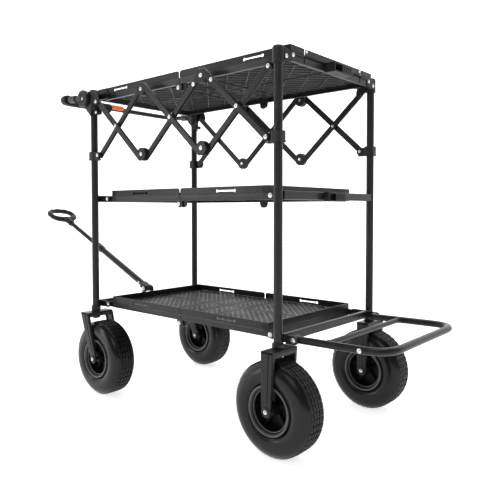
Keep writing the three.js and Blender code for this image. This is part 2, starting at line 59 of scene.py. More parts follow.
def post_middle(end):
    low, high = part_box(f"post_{end}_left")
    return (low + high) / 2


MIDDLE = Vector(((post_middle("front").x + post_middle("rear").x) / 2, 0, 0))


def corners(node):
    """The lowest and highest corner of a CAD node, in millimetres from the wagon's middle."""
    low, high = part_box(node)
    return (low - MIDDLE) / MM, (high - MIDDLE) / MM


def pivot(joint):
    return (Vector(JOINTS[joint]["pos_m"]) - MIDDLE) / MM


def middle_of(node):
    low, high = corners(node)
    return (low + high) / 2


POST_X = middle_of("post_rear_left").x
POST_Y = middle_of("post_rear_right").y
POST_R = (corners("post_rear_left")[1].x - corners("post_rear_left")[0].x) / 2
LEVELS = {
    "bottom": pivot("shelf_bottom_front_fold").z,
    "mid": pivot("frame_fold").z,
    "top": pivot("shelf_top_front_fold").z,
}
SHELF_PIVOT_X = pivot("rear_frame_upright").x
HINGE_DROP = LEVELS["mid"] - pivot("shelf_mid_rear_fold").z
SHELF_Y = corners("shelf_mid_front")[1].y
RIM_UP = corners("shelf_mid_front")[1].z - LEVELS["mid"]
SHELF_END = {
    "bottom": SHELF_PIVOT_X - 16,
    "mid": SHELF_PIVOT_X - 16,
    "top": corners("shelf_top_rear")[1].x,
}
LATTICE_Z = pivot("bar_left_b1_turn").z
CROSS_X = pivot("bar_left_a3_turn").x
NODE_X = -pivot("bar_left_a2_turn").x
NODE_UP = pivot("bar_left_a2_turn").z - LATTICE_Z
PIN_X = pivot("bar_left_b3_turn").x
PIN_UP = pivot("bar_left_b3_turn").z - LATTICE_Z
LAYER_A = -pivot("bar_left_a1_turn").y
LAYER_B = -pivot("bar_left_b3_turn").y
WHEEL_R = middle_of("tyre_rear_left").z
TYRE_W = corners("tyre_rear_left")[1].y - corners("tyre_rear_left")[0].y
YOKE_TOP = corners("fork_rear_left")[1].z
FORK_OUT = corners("fork_rear_right")[1].y - POST_Y
PULL_PIVOT = pivot("pull_handle_pitch")
SLIDE = Vector(JOINTS["pull_handle_telescope"]["axis"])
PULL_TILT = math.atan2(-SLIDE.z, SLIDE.x)
PUSH_PIVOT = pivot("push_handle_tilt")
PUSH_TIP = pivot("release_tab_turn")
EXT_PIVOT = pivot("extension_fold")
EXT_TUBE = Vector((12, 12, 10.2))
EXT_FAR = corners("extension_frame")[1] - EXT_TUBE      # middle line of the tube's far corner
SLEEVE_TOP = corners("bracket_rear_left")[1].z

# ---------------------------------------------------------------- sizes of the fine shapes
SHEET = 3                       # shelf sheet
DECK_UP = 7                     # deck surface above a shelf's end pivots
RIM_DOWN = 12
SLEEVE_R = 16.5
BAR_W = 20
BAR_T = 9
HUB_R = 22
HUB_OFF = 15                    # hub pivots off the centre lines of the lattice bars
SLEEVE_H = 41                   # corner sleeves on the post tops
EXT_Y = 214                     # side tubes of the extension, from the middle
PIN_R = 4                       # plain pins of shelves, lattice and hinges
BOLT_R = 4.9
SHARP_FROM = 34                 # degrees between faces at which an edge is shaded sharp

# ---------------------------------------------------------------- places
# Each turns a flat outline's two directions and its thickness direction into X, Y and Z.
SIDEWAYS = Matrix(((1, 0, 0, 0), (0, 0, 1, 0), (0, 1, 0, 0), (0, 0, 0, 1)))   # outline in XZ, thick along Y
ENDWAYS = Matrix(((0, 0, 1, 0), (1, 0, 0, 0), (0, 1, 0, 0), (0, 0, 0, 1)))    # outline in YZ, thick along X
FLAT = Matrix()                                                             # outline in XY, thick along Z


def aim(point, axis):
    """A place at point whose third direction runs along axis."""
    return Matrix.Translation(point) @ Vector(axis).to_track_quat("Z", "Y").to_matrix().to_4x4()


# ---------------------------------------------------------------- outlines
def arc(x, y, radius, start, stop, steps=8):
    """Points on a circle between two angles in degrees."""
    angles = [math.radians(start + (stop - start) * k / steps) for k in range(steps + 1)]
    return [Vector((x + radius * math.cos(a), y + radius * math.sin(a))) for a in angles]


def rounded(points, radius, steps=4):
    """An outline with each corner rounded. A corner may bring its own radius as a third value."""
    outline = []
    for i, corner in enumerate(points):
        here = Vector(corner[:2])
        bend = corner[2] if len(corner) > 2 else radius
        before = Vector(points[i - 1][:2]) - here
        after = Vector(points[(i + 1) % len(points)][:2]) - here
        reach = min(bend / math.tan(before.angle(after) / 2), 0.48 * before.length, 0.48 * after.length)
        if reach < 0.05:
            outline.append(here)
            continue
        start = here + before.normalized() * reach
        stop = here + after.normalized() * reach
        for k in range(steps + 1):
            t = k / steps
            outline.append(start * (1 - t) ** 2 + here * 2 * t * (1 - t) + stop * t ** 2)
    return outline


def rectangle(x0, x1, y0, y1, radius=0.0):
    x0, x1 = sorted((x0, x1))
    y0, y1 = sorted((y0, y1))
    return rounded([(x0, y0), (x1, y0), (x1, y1), (x0, y1)], radius)


def stadium(a, b, radius):
    """The outline round a straight line from a to b, with round ends."""
    along = math.degrees(math.atan2(b[1] - a[1], b[0] - a[0]))
    return arc(*a, radius, along + 90, along + 270) + arc(*b, radius, along - 90, along + 90)


def dog_bone(x0, x1, y, half, radius):
    """A narrow slot with a round hole at each end."""
    lean = math.degrees(math.asin(half / radius))
    return arc(x1, y, radius, lean - 180, 180 - lean, 10) + arc(x0, y, radius, lean, 360 - lean, 10)


def offset(outline, inset):
    """The outline moved inwards by inset."""
    points = [Vector(p[:2]) for p in outline]
    ahead = points[1:] + points[:1]
    area = sum(a.x * b.y - b.x * a.y for a, b in zip(points, ahead))
    turn = 1 if area > 0 else -1
    moved = []
    for before, here, after in zip(points[-1:] + points[:-1], points, ahead):
        a = (here - before).normalized()
        b = (after - here).normalized()
        left = Vector((-a.y - b.y, a.x + b.x)) * turn
        moved.append(here + left * (inset / max(1 + a.dot(b), 0.4)))
    return moved


# ---------------------------------------------------------------- solids
class Form:
    """One piece's mesh while it is built, in millimetres from the wagon's middle."""

    def __init__(self):
        self.bm = bmesh.new()

    def skin(self, rows, wrap=False, ring=True, caps=True):
        """Joins rows of points. wrap joins the last row to the first, ring each row's end to its start."""
        made = [[self.bm.verts.new(p) for p in row] for row in rows]
        count = len(rows[0])
        for r in range(len(rows) if wrap else len(rows) - 1):
            a, b = made[r], made[(r + 1) % len(rows)]
            for k in range(count if ring else count - 1):
                n = (k + 1) % count
                self.bm.faces.new((a[k], a[n], b[n], b[k]))
        if caps and not wrap:
            self.bm.faces.new(made[0])
            self.bm.faces.new(made[-1])
        return made

    def lathe(self, profile, place=FLAT, sides=40, ring=False):
        """Turns (radius, height) points about the place's third direction."""
        rows = []
        for k in range(sides):
            turn = Matrix.Rotation(2 * math.pi * k / sides, 4, "Z")
            rows.append([place @ turn @ Vector((r, 0, z)) for r, z in profile])
        self.skin(rows, wrap=True, ring=ring)

    def rod(self, a, b, radius, sides=28, edge=1.0):
        a, b = Vector(a), Vector(b)
        length = (b - a).length
        edge = min(edge, radius / 2)
        profile = [(0, 0), (radius - edge, 0), (radius - 0.3 * edge, 0.3 * edge), (radius, edge),
                   (radius, length - edge), (radius - 0.3 * edge, length - 0.3 * edge),
                   (radius - edge, length), (0, length)]
        self.lathe(profile, aim(a, b - a), sides)

    def sleeve(self, a, b, radius, bore, edge=0.8, sides=32):
        """A round collar with a hole through it."""
        a, b = Vector(a), Vector(b)
        length = (b - a).length
        profile = [(bore, 0), (radius - edge, 0), (radius, edge), (radius, length - edge),
                   (radius - edge, length), (bore, length)]
        self.lathe(profile, aim(a, b - a), sides, ring=True)

    def tube(self, path, radius, sides=18, closed=False, flat=1.0, up=(0, 0, 1)):
        """A tube along a path. radius may be a list with one value for each point."""
        points = [Vector(p) for p in path]
        radii = radius if isinstance(radius, list) else [radius] * len(points)
        rows = []
        for i, point in enumerate(points):
            before = points[i - 1] if closed or i else point
            after = points[(i + 1) % len(points)] if closed or i + 1 < len(points) else point
            along = (after - before).normalized()
            side = along.cross(Vector(up)).normalized()
            lift = side.cross(along)
            rows.append([point + side * radii[i] * math.cos(a) + lift * radii[i] * flat * math.sin(a)
                         for a in (2 * math.pi * k / sides for k in range(sides))])
        self.skin(rows, wrap=closed)

    def prism(self, outline, low, high, place=FLAT, edge=0.8, holes=()):
        """A flat part of that outline between two heights, with rounded edges and any holes."""
        low, high = sorted((low, high))
        edge = min(edge, 0.49 * (high - low))
        rise = ((edge, 0.0), (0.3 * edge, 0.3 * edge), (0.0, edge))
        levels = [(inset, low + up) for inset, up in rise]
        levels += [(inset, high - up) for inset, up in reversed(rise)]
        bottom, top, flat = [], [], []
        for loop in (outline, *holes):
            inward = 1 if loop is outline else -1
            rows = [[place @ Vector((*p, height)) for p in offset(loop, inward * inset)]
                    for inset, height in levels]
            made = self.skin(rows, caps=False)
            bottom += made[0]
            top += made[-1]
            flat.append([Vector((*p, 0)) for p in offset(loop, inward * edge)])
        for triangle in tessellate_polygon(flat):
            for cap in (bottom, top):
                self.bm.faces.new([cap[i] for i in triangle])

    def block(self, x0, x1, y0, y1, z0, z1, edge=0.8):
        self.prism(rectangle(x0, x1, y0, y1, edge), z0, z1, FLAT, edge)

    def bolt(self, at, axis, radius=BOLT_R, height=2.6):
        """A domed socket head on a thin washer."""
        profile = [(0, -0.6), (1.3 * radius, -0.6), (1.3 * radius, 0.5), (1.2 * radius, 0.9), (radius, 0.9)]
        for angle in (20, 40, 60, 75):
            a = math.radians(angle)
            profile.append((radius * math.cos(a), 0.9 + (height - 0.9) * math.sin(a)))
        socket = 0.3 * radius
        profile += [(socket, height), (0.85 * socket, height - 0.8), (0, height - 0.8)]
        self.lathe(profile, aim(at, axis), 24)

    def rivet(self, at, axis, radius=2.6, height=1.4):
        profile = [(0, -0.5), (radius, -0.5), (0.92 * radius, 0.5 * height),
                   (0.6 * radius, 0.87 * height), (0, height)]
        self.lathe(profile, aim(at, axis), 12)


def piece(form, name, material, body, replaces=()):
    """Turns a form into a named piece that rides on a body and stands for its CAD nodes."""
    bm = form.bm
    bmesh.ops.remove_doubles(bm, verts=bm.verts, dist=0.0005)
    bmesh.ops.recalc_face_normals(bm, faces=bm.faces)
    mesh = bpy.data.meshes.new(name)
    bm.to_mesh(mesh)
    bm.free()
    mesh.transform(Matrix.Translation(MIDDLE) @ Matrix.Scale(MM, 4))
    mesh.shade_smooth()
    mesh.set_sharp_from_angle(angle=math.radians(SHARP_FROM))
    mesh.materials.append(material)
    obj = bpy.data.objects.new(name, mesh)
    bpy.context.scene.collection.objects.link(obj)
    normals = obj.modifiers.new("even_shading", "WEIGHTED_NORMAL")
    normals.keep_sharp = True
    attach(obj, body)
    if replaces:
        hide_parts(*replaces)
    return obj


# ---------------------------------------------------------------- materials
def finish(name, dark, light, rough, metal=0.0, mottle=14.0, grain=900.0, bump=0.15, cells=False,
           wear=None, dust=None, sheen=0.0, gloss=0.5):
    """A procedural finish. dark and light are mixed by slow mottling, rough is the range that the
    roughness follows, grain is the fine surface texture, wear a colour on worn edges and dust one
    that settles on faces that look up."""
    material = bpy.data.materials.new(name)
    material.use_nodes = True
    nodes, links = material.node_tree.nodes, material.node_tree.links
    shader = nodes["Principled BSDF"]
    place = nodes.new("ShaderNodeTexCoord").outputs["Object"]

    slow = nodes.new("ShaderNodeTexNoise")
    slow.inputs["Scale"].default_value = mottle
    slow.inputs["Detail"].default_value = 5
    links.new(place, slow.inputs["Vector"])
    tone = nodes.new("ShaderNodeMix")
    tone.data_type = "RGBA"
    tone.inputs["A"].default_value = (*dark, 1)
    tone.inputs["B"].default_value = (*light, 1)
    links.new(slow.outputs["Fac"], tone.inputs["Factor"])
    colour = tone.outputs["Result"]

    def overlay(colour, amount, paint):
        mix = nodes.new("ShaderNodeMix")
        mix.data_type = "RGBA"
        links.new(colour, mix.inputs["A"])
        mix.inputs["B"].default_value = (*paint, 1)
        links.new(amount, mix.inputs["Factor"])
        return mix.outputs["Result"]

    def remap(value, low, high, to_low, to_high):
        node = nodes.new("ShaderNodeMapRange")
        limits = {"From Min": low, "From Max": high, "To Min": to_low, "To Max": to_high}
        for socket, number in limits.items():
            node.inputs[socket].default_value = number
        links.new(value, node.inputs["Value"])
        return node.outputs["Result"]

    geometry = nodes.new("ShaderNodeNewGeometry")
    if wear:
        colour = overlay(colour, remap(geometry.outputs["Pointiness"], 0.53, 0.62, 0.0, 0.5), wear)
    if dust:
        split = nodes.new("ShaderNodeSeparateXYZ")
        links.new(geometry.outputs["Normal"], split.inputs["Vector"])
        colour = overlay(colour, remap(split.outputs["Z"], 0.5, 1.0, 0.0, 0.35), dust)
    links.new(colour, shader.inputs["Base Color"])
    links.new(remap(slow.outputs["Fac"], 0.3, 0.7, *rough), shader.inputs["Roughness"])

    fine = nodes.new("ShaderNodeTexVoronoi" if cells else "ShaderNodeTexNoise")
    fine.inputs["Scale"].default_value = grain
    links.new(place, fine.inputs["Vector"])
    relief = nodes.new("ShaderNodeBump")
    relief.inputs["Strength"].default_value = bump
    relief.inputs["Distance"].default_value = 0.3 * MM
    links.new(fine.outputs["Distance" if cells else "Fac"], relief.inputs["Height"])
    links.new(relief.outputs["Normal"], shader.inputs["Normal"])
    shader.inputs["Metallic"].default_value = metal
    shader.inputs["Specular IOR Level"].default_value = gloss
    shader.inputs["Sheen Weight"].default_value = sheen
    return material


STEEL = finish("black_powder_coat", (0.007, 0.007, 0.0075), (0.012, 0.012, 0.0125), (0.28, 0.4),
               bump=0.15, wear=(0.04, 0.04, 0.042), gloss=0.26)
# Darker copy of the powder coat: painted shade, for the decks' undersides and the rims' deep wells, spokes
# and hubs.
PAINTED_SHADE_COAT = finish("powder_coat_painted_shade", (0.0035, 0.0035, 0.004), (0.006, 0.006, 0.0065), (0.45, 0.6),
              bump=0.25, wear=(0.02, 0.02, 0.02), gloss=0.12)
# Lighter copy of the powder coat for the stamped ridges, ribs and rods: painted light, beside the decks'
# painted shade.
RIDGE_COAT_PAINTED_LIGHT = finish("ridge_powder_coat_painted_light", (0.008, 0.008, 0.0085), (0.014, 0.014, 0.0145), (0.34, 0.48),
               bump=0.2, wear=(0.035, 0.035, 0.035), gloss=0.26)
PLASTIC = finish("black_nylon", (0.006, 0.006, 0.0065), (0.011, 0.011, 0.0115), (0.38, 0.52),
                 grain=1600, bump=0.3, wear=(0.03, 0.03, 0.03), gloss=0.26)
# Lighter copy of the black nylon: painted highlight on the rim lips and the push handle's ribbed sockets.
NYLON_PAINTED_HIGHLIGHT = finish("rim_lip_nylon", (0.03, 0.03, 0.031), (0.045, 0.045, 0.046), (0.28, 0.4),
             grain=1600, bump=0.15, gloss=0.6)
SIDEWALL = finish("tyre_sidewall", (0.0035, 0.0035, 0.0036), (0.006, 0.006, 0.006), (0.18, 0.28),
                  grain=600, bump=0.06, gloss=0.26)
TREAD = finish("tyre_tread", (0.005, 0.005, 0.005), (0.009, 0.009, 0.009), (0.45, 0.62),
               grain=700, bump=0.4, dust=(0.014, 0.0138, 0.0135), gloss=0.25)
FOAM = finish("foam_sleeve", (0.008, 0.008, 0.008), (0.013, 0.013, 0.013), (0.85, 0.98),
              grain=1300, bump=0.7, cells=True, sheen=0.1, gloss=0.3)
ORANGE = finish("orange_plastic", (0.95, 0.17, 0.035), (1.0, 0.22, 0.05), (0.32, 0.42),
                grain=1500, bump=0.12, wear=(1.0, 0.35, 0.12))
ZINC = finish("bright_zinc", (0.62, 0.62, 0.63), (0.8, 0.8, 0.8), (0.22, 0.36),
              metal=1.0, mottle=260, grain=2400, bump=0.1)


def bolts(name, body, heads):
    """Bright bolts on a body. Each head gives its place and axis, then its radius and height if it
    isn't the usual one."""
    form = Form()
    for head in heads:
        form.bolt(*head)
    piece(form, f"bolts_{name}", ZINC, body)


# ---------------------------------------------------------------- posts and cross bars
def post(end, side):
    """A corner tube with a ring at its foot and a cap on top."""
    x, y = ENDS[end] * POST_X, SIDES[side] * POST_Y
    low, high = corners(f"post_{end}_{side}")
    body = f"{end}_frame"
    form = Form()
    form.rod((x, y, low.z), (x, y, high.z), POST_R, 36, 2.0)
    # weld ring or bearing cup at the foot
    cup = SLEEVE_R + 0.5
    form.lathe([(POST_R - 1, 0), (cup - 1, 0), (cup, 1), (cup, 11), (POST_R + 1, 16), (POST_R - 1, 18)],
               Matrix.Translation((x, y, low.z)), 36, ring=True)
    piece(form, f"tube_post_{end}_{side}", STEEL, body, [f"post_{end}_{side}"])
    cap = Form()
    r = POST_R + 2.2
    cap.lathe([(0, -6), (r, -6), (r, -1), (r - 1, 0.8), (r - 3, 1.4), (0, 1.5)],
              Matrix.Translation((x, y, high.z)), 36)
    piece(cap, f"cap_post_{end}_{side}", PLASTIC, body)


def cross_bar(end, level):
    """The square tube between two posts, with the lugs that its shelf turns on."""
    ex, z = ENDS[end], LEVELS[level]
    node = f"bar_{end}_{level}"
    reach = POST_Y - (SLEEVE_R if level == "top" else POST_R)
    form = Form()
    form.block(ex * POST_X, ex * (POST_X + POST_R), -reach, reach, z - 12, z + 12, 2.5)
    for sy in SIDES.values():
        lug = rounded([(ex * (SHELF_PIVOT_X - 11), z - 11), (ex * (POST_X + 4), z - 11, 2),
                       (ex * (POST_X + 4), z + 11, 2), (ex * (SHELF_PIVOT_X - 11), z + 11)], 10)
        form.prism(lug, sy * (SHELF_Y + 6), sy * (SHELF_Y + 11), SIDEWAYS, 1.2)
        pin_x = ex * SHELF_PIVOT_X
        form.rod((pin_x, sy * (SHELF_Y - 4), z), (pin_x, sy * (SHELF_Y + 8), z), PIN_R)
    if level == "top":
        tray_end(form, ex, z)
    if end == "rear" and level == "bottom":
        x, _, pin_z = EXT_PIVOT
        root = POST_X + POST_R - 2
        for sy in SIDES.values():
            cheek = rounded([(root, pin_z - 12, 1), (x + 13, pin_z - 12),
                             (x + 13, pin_z + 13), (root, pin_z + 13, 1)], 9)
            form.prism(cheek, sy * (EXT_Y + 14), sy * (EXT_Y + 19), SIDEWAYS, 1.0)
            form.rod((x, sy * (EXT_Y - 14), pin_z), (x, sy * (EXT_Y + 16), pin_z), 5)
    piece(form, f"tube_{node}", STEEL, f"{end}_frame", [node])


def tray_end(form, ex, z):
    """The fixed end of the top tray: an upper band in three lengths over a lower band."""
    lip = ex * (POST_X + 18)
    back = ex * (POST_X + 15)
    seam = 155
    reach = SHELF_Y + 2.5
    middle = rectangle(-seam + 3, seam - 3, z + 9, z + RIM_UP, 1)
    form.prism(middle, back + 0.8 * ex, lip, ENDWAYS, 0.7)
    for sy in SIDES.values():
        outer = rectangle(sy * (seam + 2), sy * reach, z + 5, z + RIM_UP, 1.5)
        form.prism(outer, back, lip, ENDWAYS, 0.7)
        side = rectangle(ex * (SHELF_PIVOT_X + 6), lip, z + 5, z + RIM_UP, 1.5)
        form.prism(side, sy * (SHELF_Y + 0.6), sy * reach, SIDEWAYS, 0.7)
    form.block(ex * (POST_X + 1), lip, -reach, reach, z + 10, z + 13, 0.7)
    # lower band, a shallow channel on the face of the cross bar
    face = ex * (POST_X + POST_R)
    for y0, y1 in ((-reach + 16, -seam), (-seam + 4, seam - 4), (seam, reach - 16)):
        form.block(face, face + ex * 2.2, y0, y1, z - 11, z + 6, 0.8)


def latch(level):
    """Moulded latch on the middle of a rear cross bar: an open pocket beside a ribbed block."""
    z = LEVELS[level]
    proud = corners(f"bar_rear_{level}")[1].x
    face = POST_X + POST_R + 1.5
    half = 50
    form = Form()
    form.block(face, proud, -8, half, z - 16, z + 11, 2.5)
    form.block(face, proud, -half, -half + 4, z - 14, z + 12, 1.2)
    form.block(face, proud, -half, -6, z - 16, z - 12, 1.2)
    form.block(face, proud, -half, -6, z + 8, z + 12, 1.2)
    form.block(face, face + 4, -half + 2, -6, z - 15, z + 11, 1.0)
    for k in range(4):
        y = 2 + 11 * k
        form.block(face + 3, proud + 1.2, y, y + 4, z - 9, z + 7, 1.0)
    form.rod((face + 2, -28, z - 12), (face + 2, -28, z + 8), 5)
    piece(form, f"latch_{level}", PLASTIC, "rear_frame")


# ---------------------------------------------------------------- top brackets
REAR_PLATE = (236.5, 241.5)     # inner and outer face of each bracket's plate, from the middle in Y
FRONT_PLATE = (265, 270)


def bracket_rear(side):
    """Moulded corner on a rear post: a sleeve, a plate for the lattice pin and an end flange."""
    sy = SIDES[side]
    node = f"bracket_rear_{side}"
    x, y = POST_X, sy * POST_Y
    top = SLEEVE_TOP
    foot = top - SLEEVE_H
    pin_x, pin_z = PIN_X, LATTICE_Z + PIN_UP
    form = Form()
    form.sleeve((x, y, foot), (x, y, top), SLEEVE_R, POST_R + 0.3, 2.0, 40)
    form.sleeve((x, y, foot - 2), (x, y, foot + 2), SLEEVE_R + 0.8, POST_R + 0.3, 0.8, 40)
    # flange that sweeps from the sleeve down to the first lattice bar's pin
    flange = rounded([(pin_x - 10, pin_z - 11, 9), (pin_x - 12, pin_z + 6, 6), (pin_x + 2, top, 6),
                      (x - 4, top, 1), (x - 4, foot + 1, 1), (x - 14, foot - 4, 12),
                      (pin_x + 13, pin_z - 6, 8)], 4)
    form.prism(flange, sy * REAR_PLATE[0], sy * REAR_PLATE[1], SIDEWAYS, 1.4)
    form.rod((pin_x, sy * (REAR_PLATE[0] + 1.5), pin_z), (pin_x, sy * (LAYER_B + 3), pin_z), PIN_R)
    # end flange across the corner, stepped down towards the cross bar
    end = rounded([(sy * 246, top - 36, 3), (sy * 246, top - 3, 3), (sy * 214, top - 3, 3),
                   (sy * 210, top - 7, 3), (sy * 198, top - 7, 2), (sy * 198, top - 28, 3),
                   (sy * 218, top - 36, 4)], 2)
    form.prism(end, x + POST_R + 0.6, x + POST_R + 4.8, ENDWAYS, 1.2)
    form.block(x - 12, x + POST_R + 3, sy * REAR_PLATE[0], sy * REAR_PLATE[1], top - 37, top - 1, 1.2)
    piece(form, f"cast_{node}", PLASTIC, "rear_frame", [node])


def bracket_front(side):
    """Moulded corner on a front post, whose plate carries the push handle and a lattice pin."""
    sy = SIDES[side]
    node = f"bracket_front_{side}"
    x, y = -POST_X, sy * POST_Y
    top = SLEEVE_TOP
    pin_x, pin_z = -PIN_X, LATTICE_Z + PIN_UP
    px, pz = PUSH_PIVOT.x, PUSH_PIVOT.z
    form = Form()
    form.sleeve((x, y, top - SLEEVE_H), (x, y, top), SLEEVE_R, POST_R + 0.3, 2.0, 40)
    inner, face = FRONT_PLATE
    plate = rounded([(px - 4, pz + 26, 8), (x + 10, pz + 24, 5), (x + 42, pz + 20, 6),
                     (pin_x + 18, pin_z + 12, 9), (pin_x + 18, pin_z - 7, 8), (pin_x - 4, pin_z - 12, 6),
                     (x + 12, pz - 18, 8), (x + 4, pz - 70, 4), (x - 31, pz - 36, 9),
                     (px - 16, pz - 20, 9)], 5)
    form.prism(plate, sy * inner, sy * face, SIDEWAYS, 1.6)
    # the plate's edges are folded back towards the post
    fold = rounded([(x + 4, pz - 70, 2), (x - 31, pz - 36, 9), (px - 16, pz - 20, 4), (px - 13, pz - 17, 3),
                    (x - 28, pz - 33, 8), (x + 4, pz - 65, 2)], 2)
    form.prism(fold, sy * (inner - 9), sy * (inner + 1), SIDEWAYS, 1.0)
    form.block(x + 8, x + 42, sy * (inner - 10.5), sy * (inner + 1), pz + 18, pz + 21, 1.0)
    form.rod((pin_x, sy * (inner + 1), pin_z), (pin_x, sy * (LAYER_A - 3), pin_z), PIN_R)
    disc = [(0, -8), (24, -8), (26, -6), (26, -0.4), (24.5, 0), (0, 0)]
    form.lathe(disc, aim((px, sy * face, pz), (0, sy, 0)), 48)
    # bulge of the plate over the post, and a small lower boss on the post's inner side
    form.sleeve((x, y, pz - 44), (x, y, pz - 8), SLEEVE_R + 1.5, POST_R + 0.3, 5.0, 40)
    boss_x, boss_z = x + 26, pz - 54
    form.rod((boss_x, sy * 240, boss_z), (boss_x, sy * 262, boss_z), 7)
    form.block(x + 5, x + 31, sy * 240, sy * 246, boss_z - 7, boss_z + 27, 1.5)
    piece(form, f"cast_{node}", PLASTIC, "front_frame", [node])


# ---------------------------------------------------------------- lattice
def lattice_bar(side, name, crossing_x, hubs, pin):
    """One flat bar. hubs are the pivots at which it meets the next pair, pin its pivot at a post."""
    sy = SIDES[side]
    outer = name.startswith("a")
    layer = LAYER_A if outer else LAYER_B
    crossing = Vector((crossing_x, LATTICE_Z))
    slope = math.atan2(PIN_UP, PIN_X - CROSS_X)
    lean = -slope if outer else slope
    along = Vector((math.cos(lean), math.sin(lean)))
    form = Form()

    def reach(spot):
        """How far along the bar a pivot lies from the crossing."""
        return (Vector(spot) - crossing).dot(along)

    ends = [reach(spot) for spot in (*hubs, pin) if spot]
    low, high = min(ends), max(ends)
    place = SIDEWAYS @ Matrix.Translation((crossing.x, crossing.y, 0)) @ Matrix.Rotation(lean, 4, "Z")
    # square ends inside the hubs and a round one at the pin
    half = BAR_W / 2
    pin_at = reach(pin) if pin else 0
    past_low, r_low = (half, half) if pin_at < 0 else (6, 2.0)
    past_high, r_high = (half, half) if pin_at > 0 else (6, 2.0)
    outline = rounded([(low - past_low, -half, r_low), (high + past_high, -half, r_high),
                       (high + past_high, half, r_high), (low - past_low, half, r_low)], 2, 6)
    form.prism(outline, sy * (layer - BAR_T / 2), sy * (layer + BAR_T / 2), place, 2.4)
    # hub discs with a turned face, and the pairs of rivets that hold them to the bar
    for hub in hubs:
        at = Vector((hub[0], sy * layer, hub[1]))
        t = BAR_T / 2 + (0.5 if outer else 0.2)
        face = [(HUB_R - 1.5, t), (HUB_R - 4, t), (HUB_R - 4.6, t - 0.9), (HUB_R - 7.5, t - 0.9),
                (HUB_R - 8.2, t), (0, t)]
        profile = [(r, -height) for r, height in reversed(face)]
        profile += [(HUB_R, 1.6 - t), (HUB_R, t - 1.6)] + face
        form.lathe(profile, aim(at, (0, 1, 0)), 44)
        for back in (31, 43):
            spot = crossing + along * (reach(hub) - math.copysign(back, reach(hub)))
            for face_side in (-1, 1):
                form.rivet((spot.x, sy * layer + face_side * BAR_T / 2, spot.y), (0, face_side, 0))
    piece(form, f"flat_bar_{side}_{name}", STEEL, f"bar_{side}_{name}", [f"bar_{side}_{name}"])


def lattice(side):
    sy = SIDES[side]
    up, down = LATTICE_Z + NODE_UP, LATTICE_Z - NODE_UP
    top_front, top_rear = (-NODE_X, up), (NODE_X, up)
    low_front, low_rear = (-NODE_X, down), (NODE_X, down)
    pin_up, pin_down = LATTICE_Z + PIN_UP, LATTICE_Z - PIN_UP
    lattice_bar(side, "a1", -CROSS_X, [low_front], (-PIN_X, pin_up))
    lattice_bar(side, "b1", -CROSS_X, [top_front], (-PIN_X, pin_down))
    lattice_bar(side, "a2", 0, [top_front, low_rear], None)
    lattice_bar(side, "b2", 0, [low_front, top_rear], None)
    lattice_bar(side, "a3", CROSS_X, [top_rear], (PIN_X, pin_down))
    lattice_bar(side, "b3", CROSS_X, [low_rear], (PIN_X, pin_up))
    face = LAYER_A + BAR_T / 2
    pivots = {
        "a1": [(-CROSS_X, LATTICE_Z), low_front],
        "a2": [(0, LATTICE_Z), top_front, low_rear],
        "a3": [(CROSS_X, LATTICE_Z), top_rear, (PIN_X, pin_down)],
    }
    # second bolts that pin two of the bars to their hubs, on the bars' centre lines
    slope = math.atan2(PIN_UP, PIN_X - CROSS_X)
    aside = 44
    second_z = up + HUB_OFF / math.cos(slope) - aside * math.tan(slope)
    for name, spots in pivots.items():
        form = Form()
        for x, z in spots:
            form.bolt((x, sy * face, z), (0, sy, 0))
            form.rod((x, sy * (LAYER_B - 6.5), z), (x, sy * (LAYER_B - 4), z), 5.5, 6, 0.5)
        if name == "a3":
            form.bolt((NODE_X + aside, sy * face, second_z), (0, sy, 0))
        piece(form, f"bolts_{side}_{name}", ZINC, f"bar_{side}_{name}")
    b2_bolt = (NODE_X - aside, sy * (LAYER_B + BAR_T / 2), second_z)
    bolts(f"{side}_b2", f"bar_{side}_b2", [(b2_bolt, (0, sy, 0))])


def collar(end, side):
    """Sliding collar on a post, with an ear for the lattice's lower pin."""
    ex, sy = ENDS[end], SIDES[side]
    node = f"collar_{end}_{side}"
    x, y, z = ex * POST_X, sy * POST_Y, LATTICE_Z - PIN_UP
    rear = end == "rear"
    form = Form()
    box = rounded([(-16.5, -16.5), (16.5, -16.5), (16.5, 16.5), (-16.5, 16.5)], 9)
    box = [p + Vector((x, y)) for p in box]
    bore = arc(x, y, POST_R + 0.3, 0, 337.5, 15)
    form.prism(box, z - 15, z + 15, FLAT, 1.6, holes=[bore])
    lip = [(p - Vector((x, y))) * 1.07 + Vector((x, y)) for p in box]
    form.prism(lip, z - 17, z - 12, FLAT, 1.0, holes=[bore])
    in_y = LAYER_B - 6 if rear else LAYER_A - 4
    out_y = LAYER_B + BAR_T / 2 + 0.5 if rear else LAYER_A + 6
    tip = ex * (PIN_X - 11)
    ear = rounded([(tip, z - 12, 10), (x, z - 14, 1), (x, z + 13, 1), (tip, z + 11, 10)], 4)
    form.prism(ear, sy * in_y, sy * out_y, SIDEWAYS, 1.4)
    form.block(ex * (PIN_X - 6), x, sy * (in_y - 4), sy * (out_y + 1), z - 17, z - 13, 1.2)
    piece(form, f"slide_{node}", PLASTIC, node, [node])
    if not rear:
        bolts(node, node, [((ex * PIN_X, sy * (LAYER_A + 6), z), (0, sy, 0))])


# ---------------------------------------------------------------- shelves
SLOTS = {"bottom": (170, 243), "mid": (170, 243), "top": (282, 352)}
RIDGE_PITCH = 17.3              # stamped rows on a deck, square to their run
UNDER_PITCH = 30                # ribs under a deck
WEB_PITCH = 64                  # thin ribs across them
LEAF_BOLT = 10.5                # fasteners of the middle hinge, from its axis


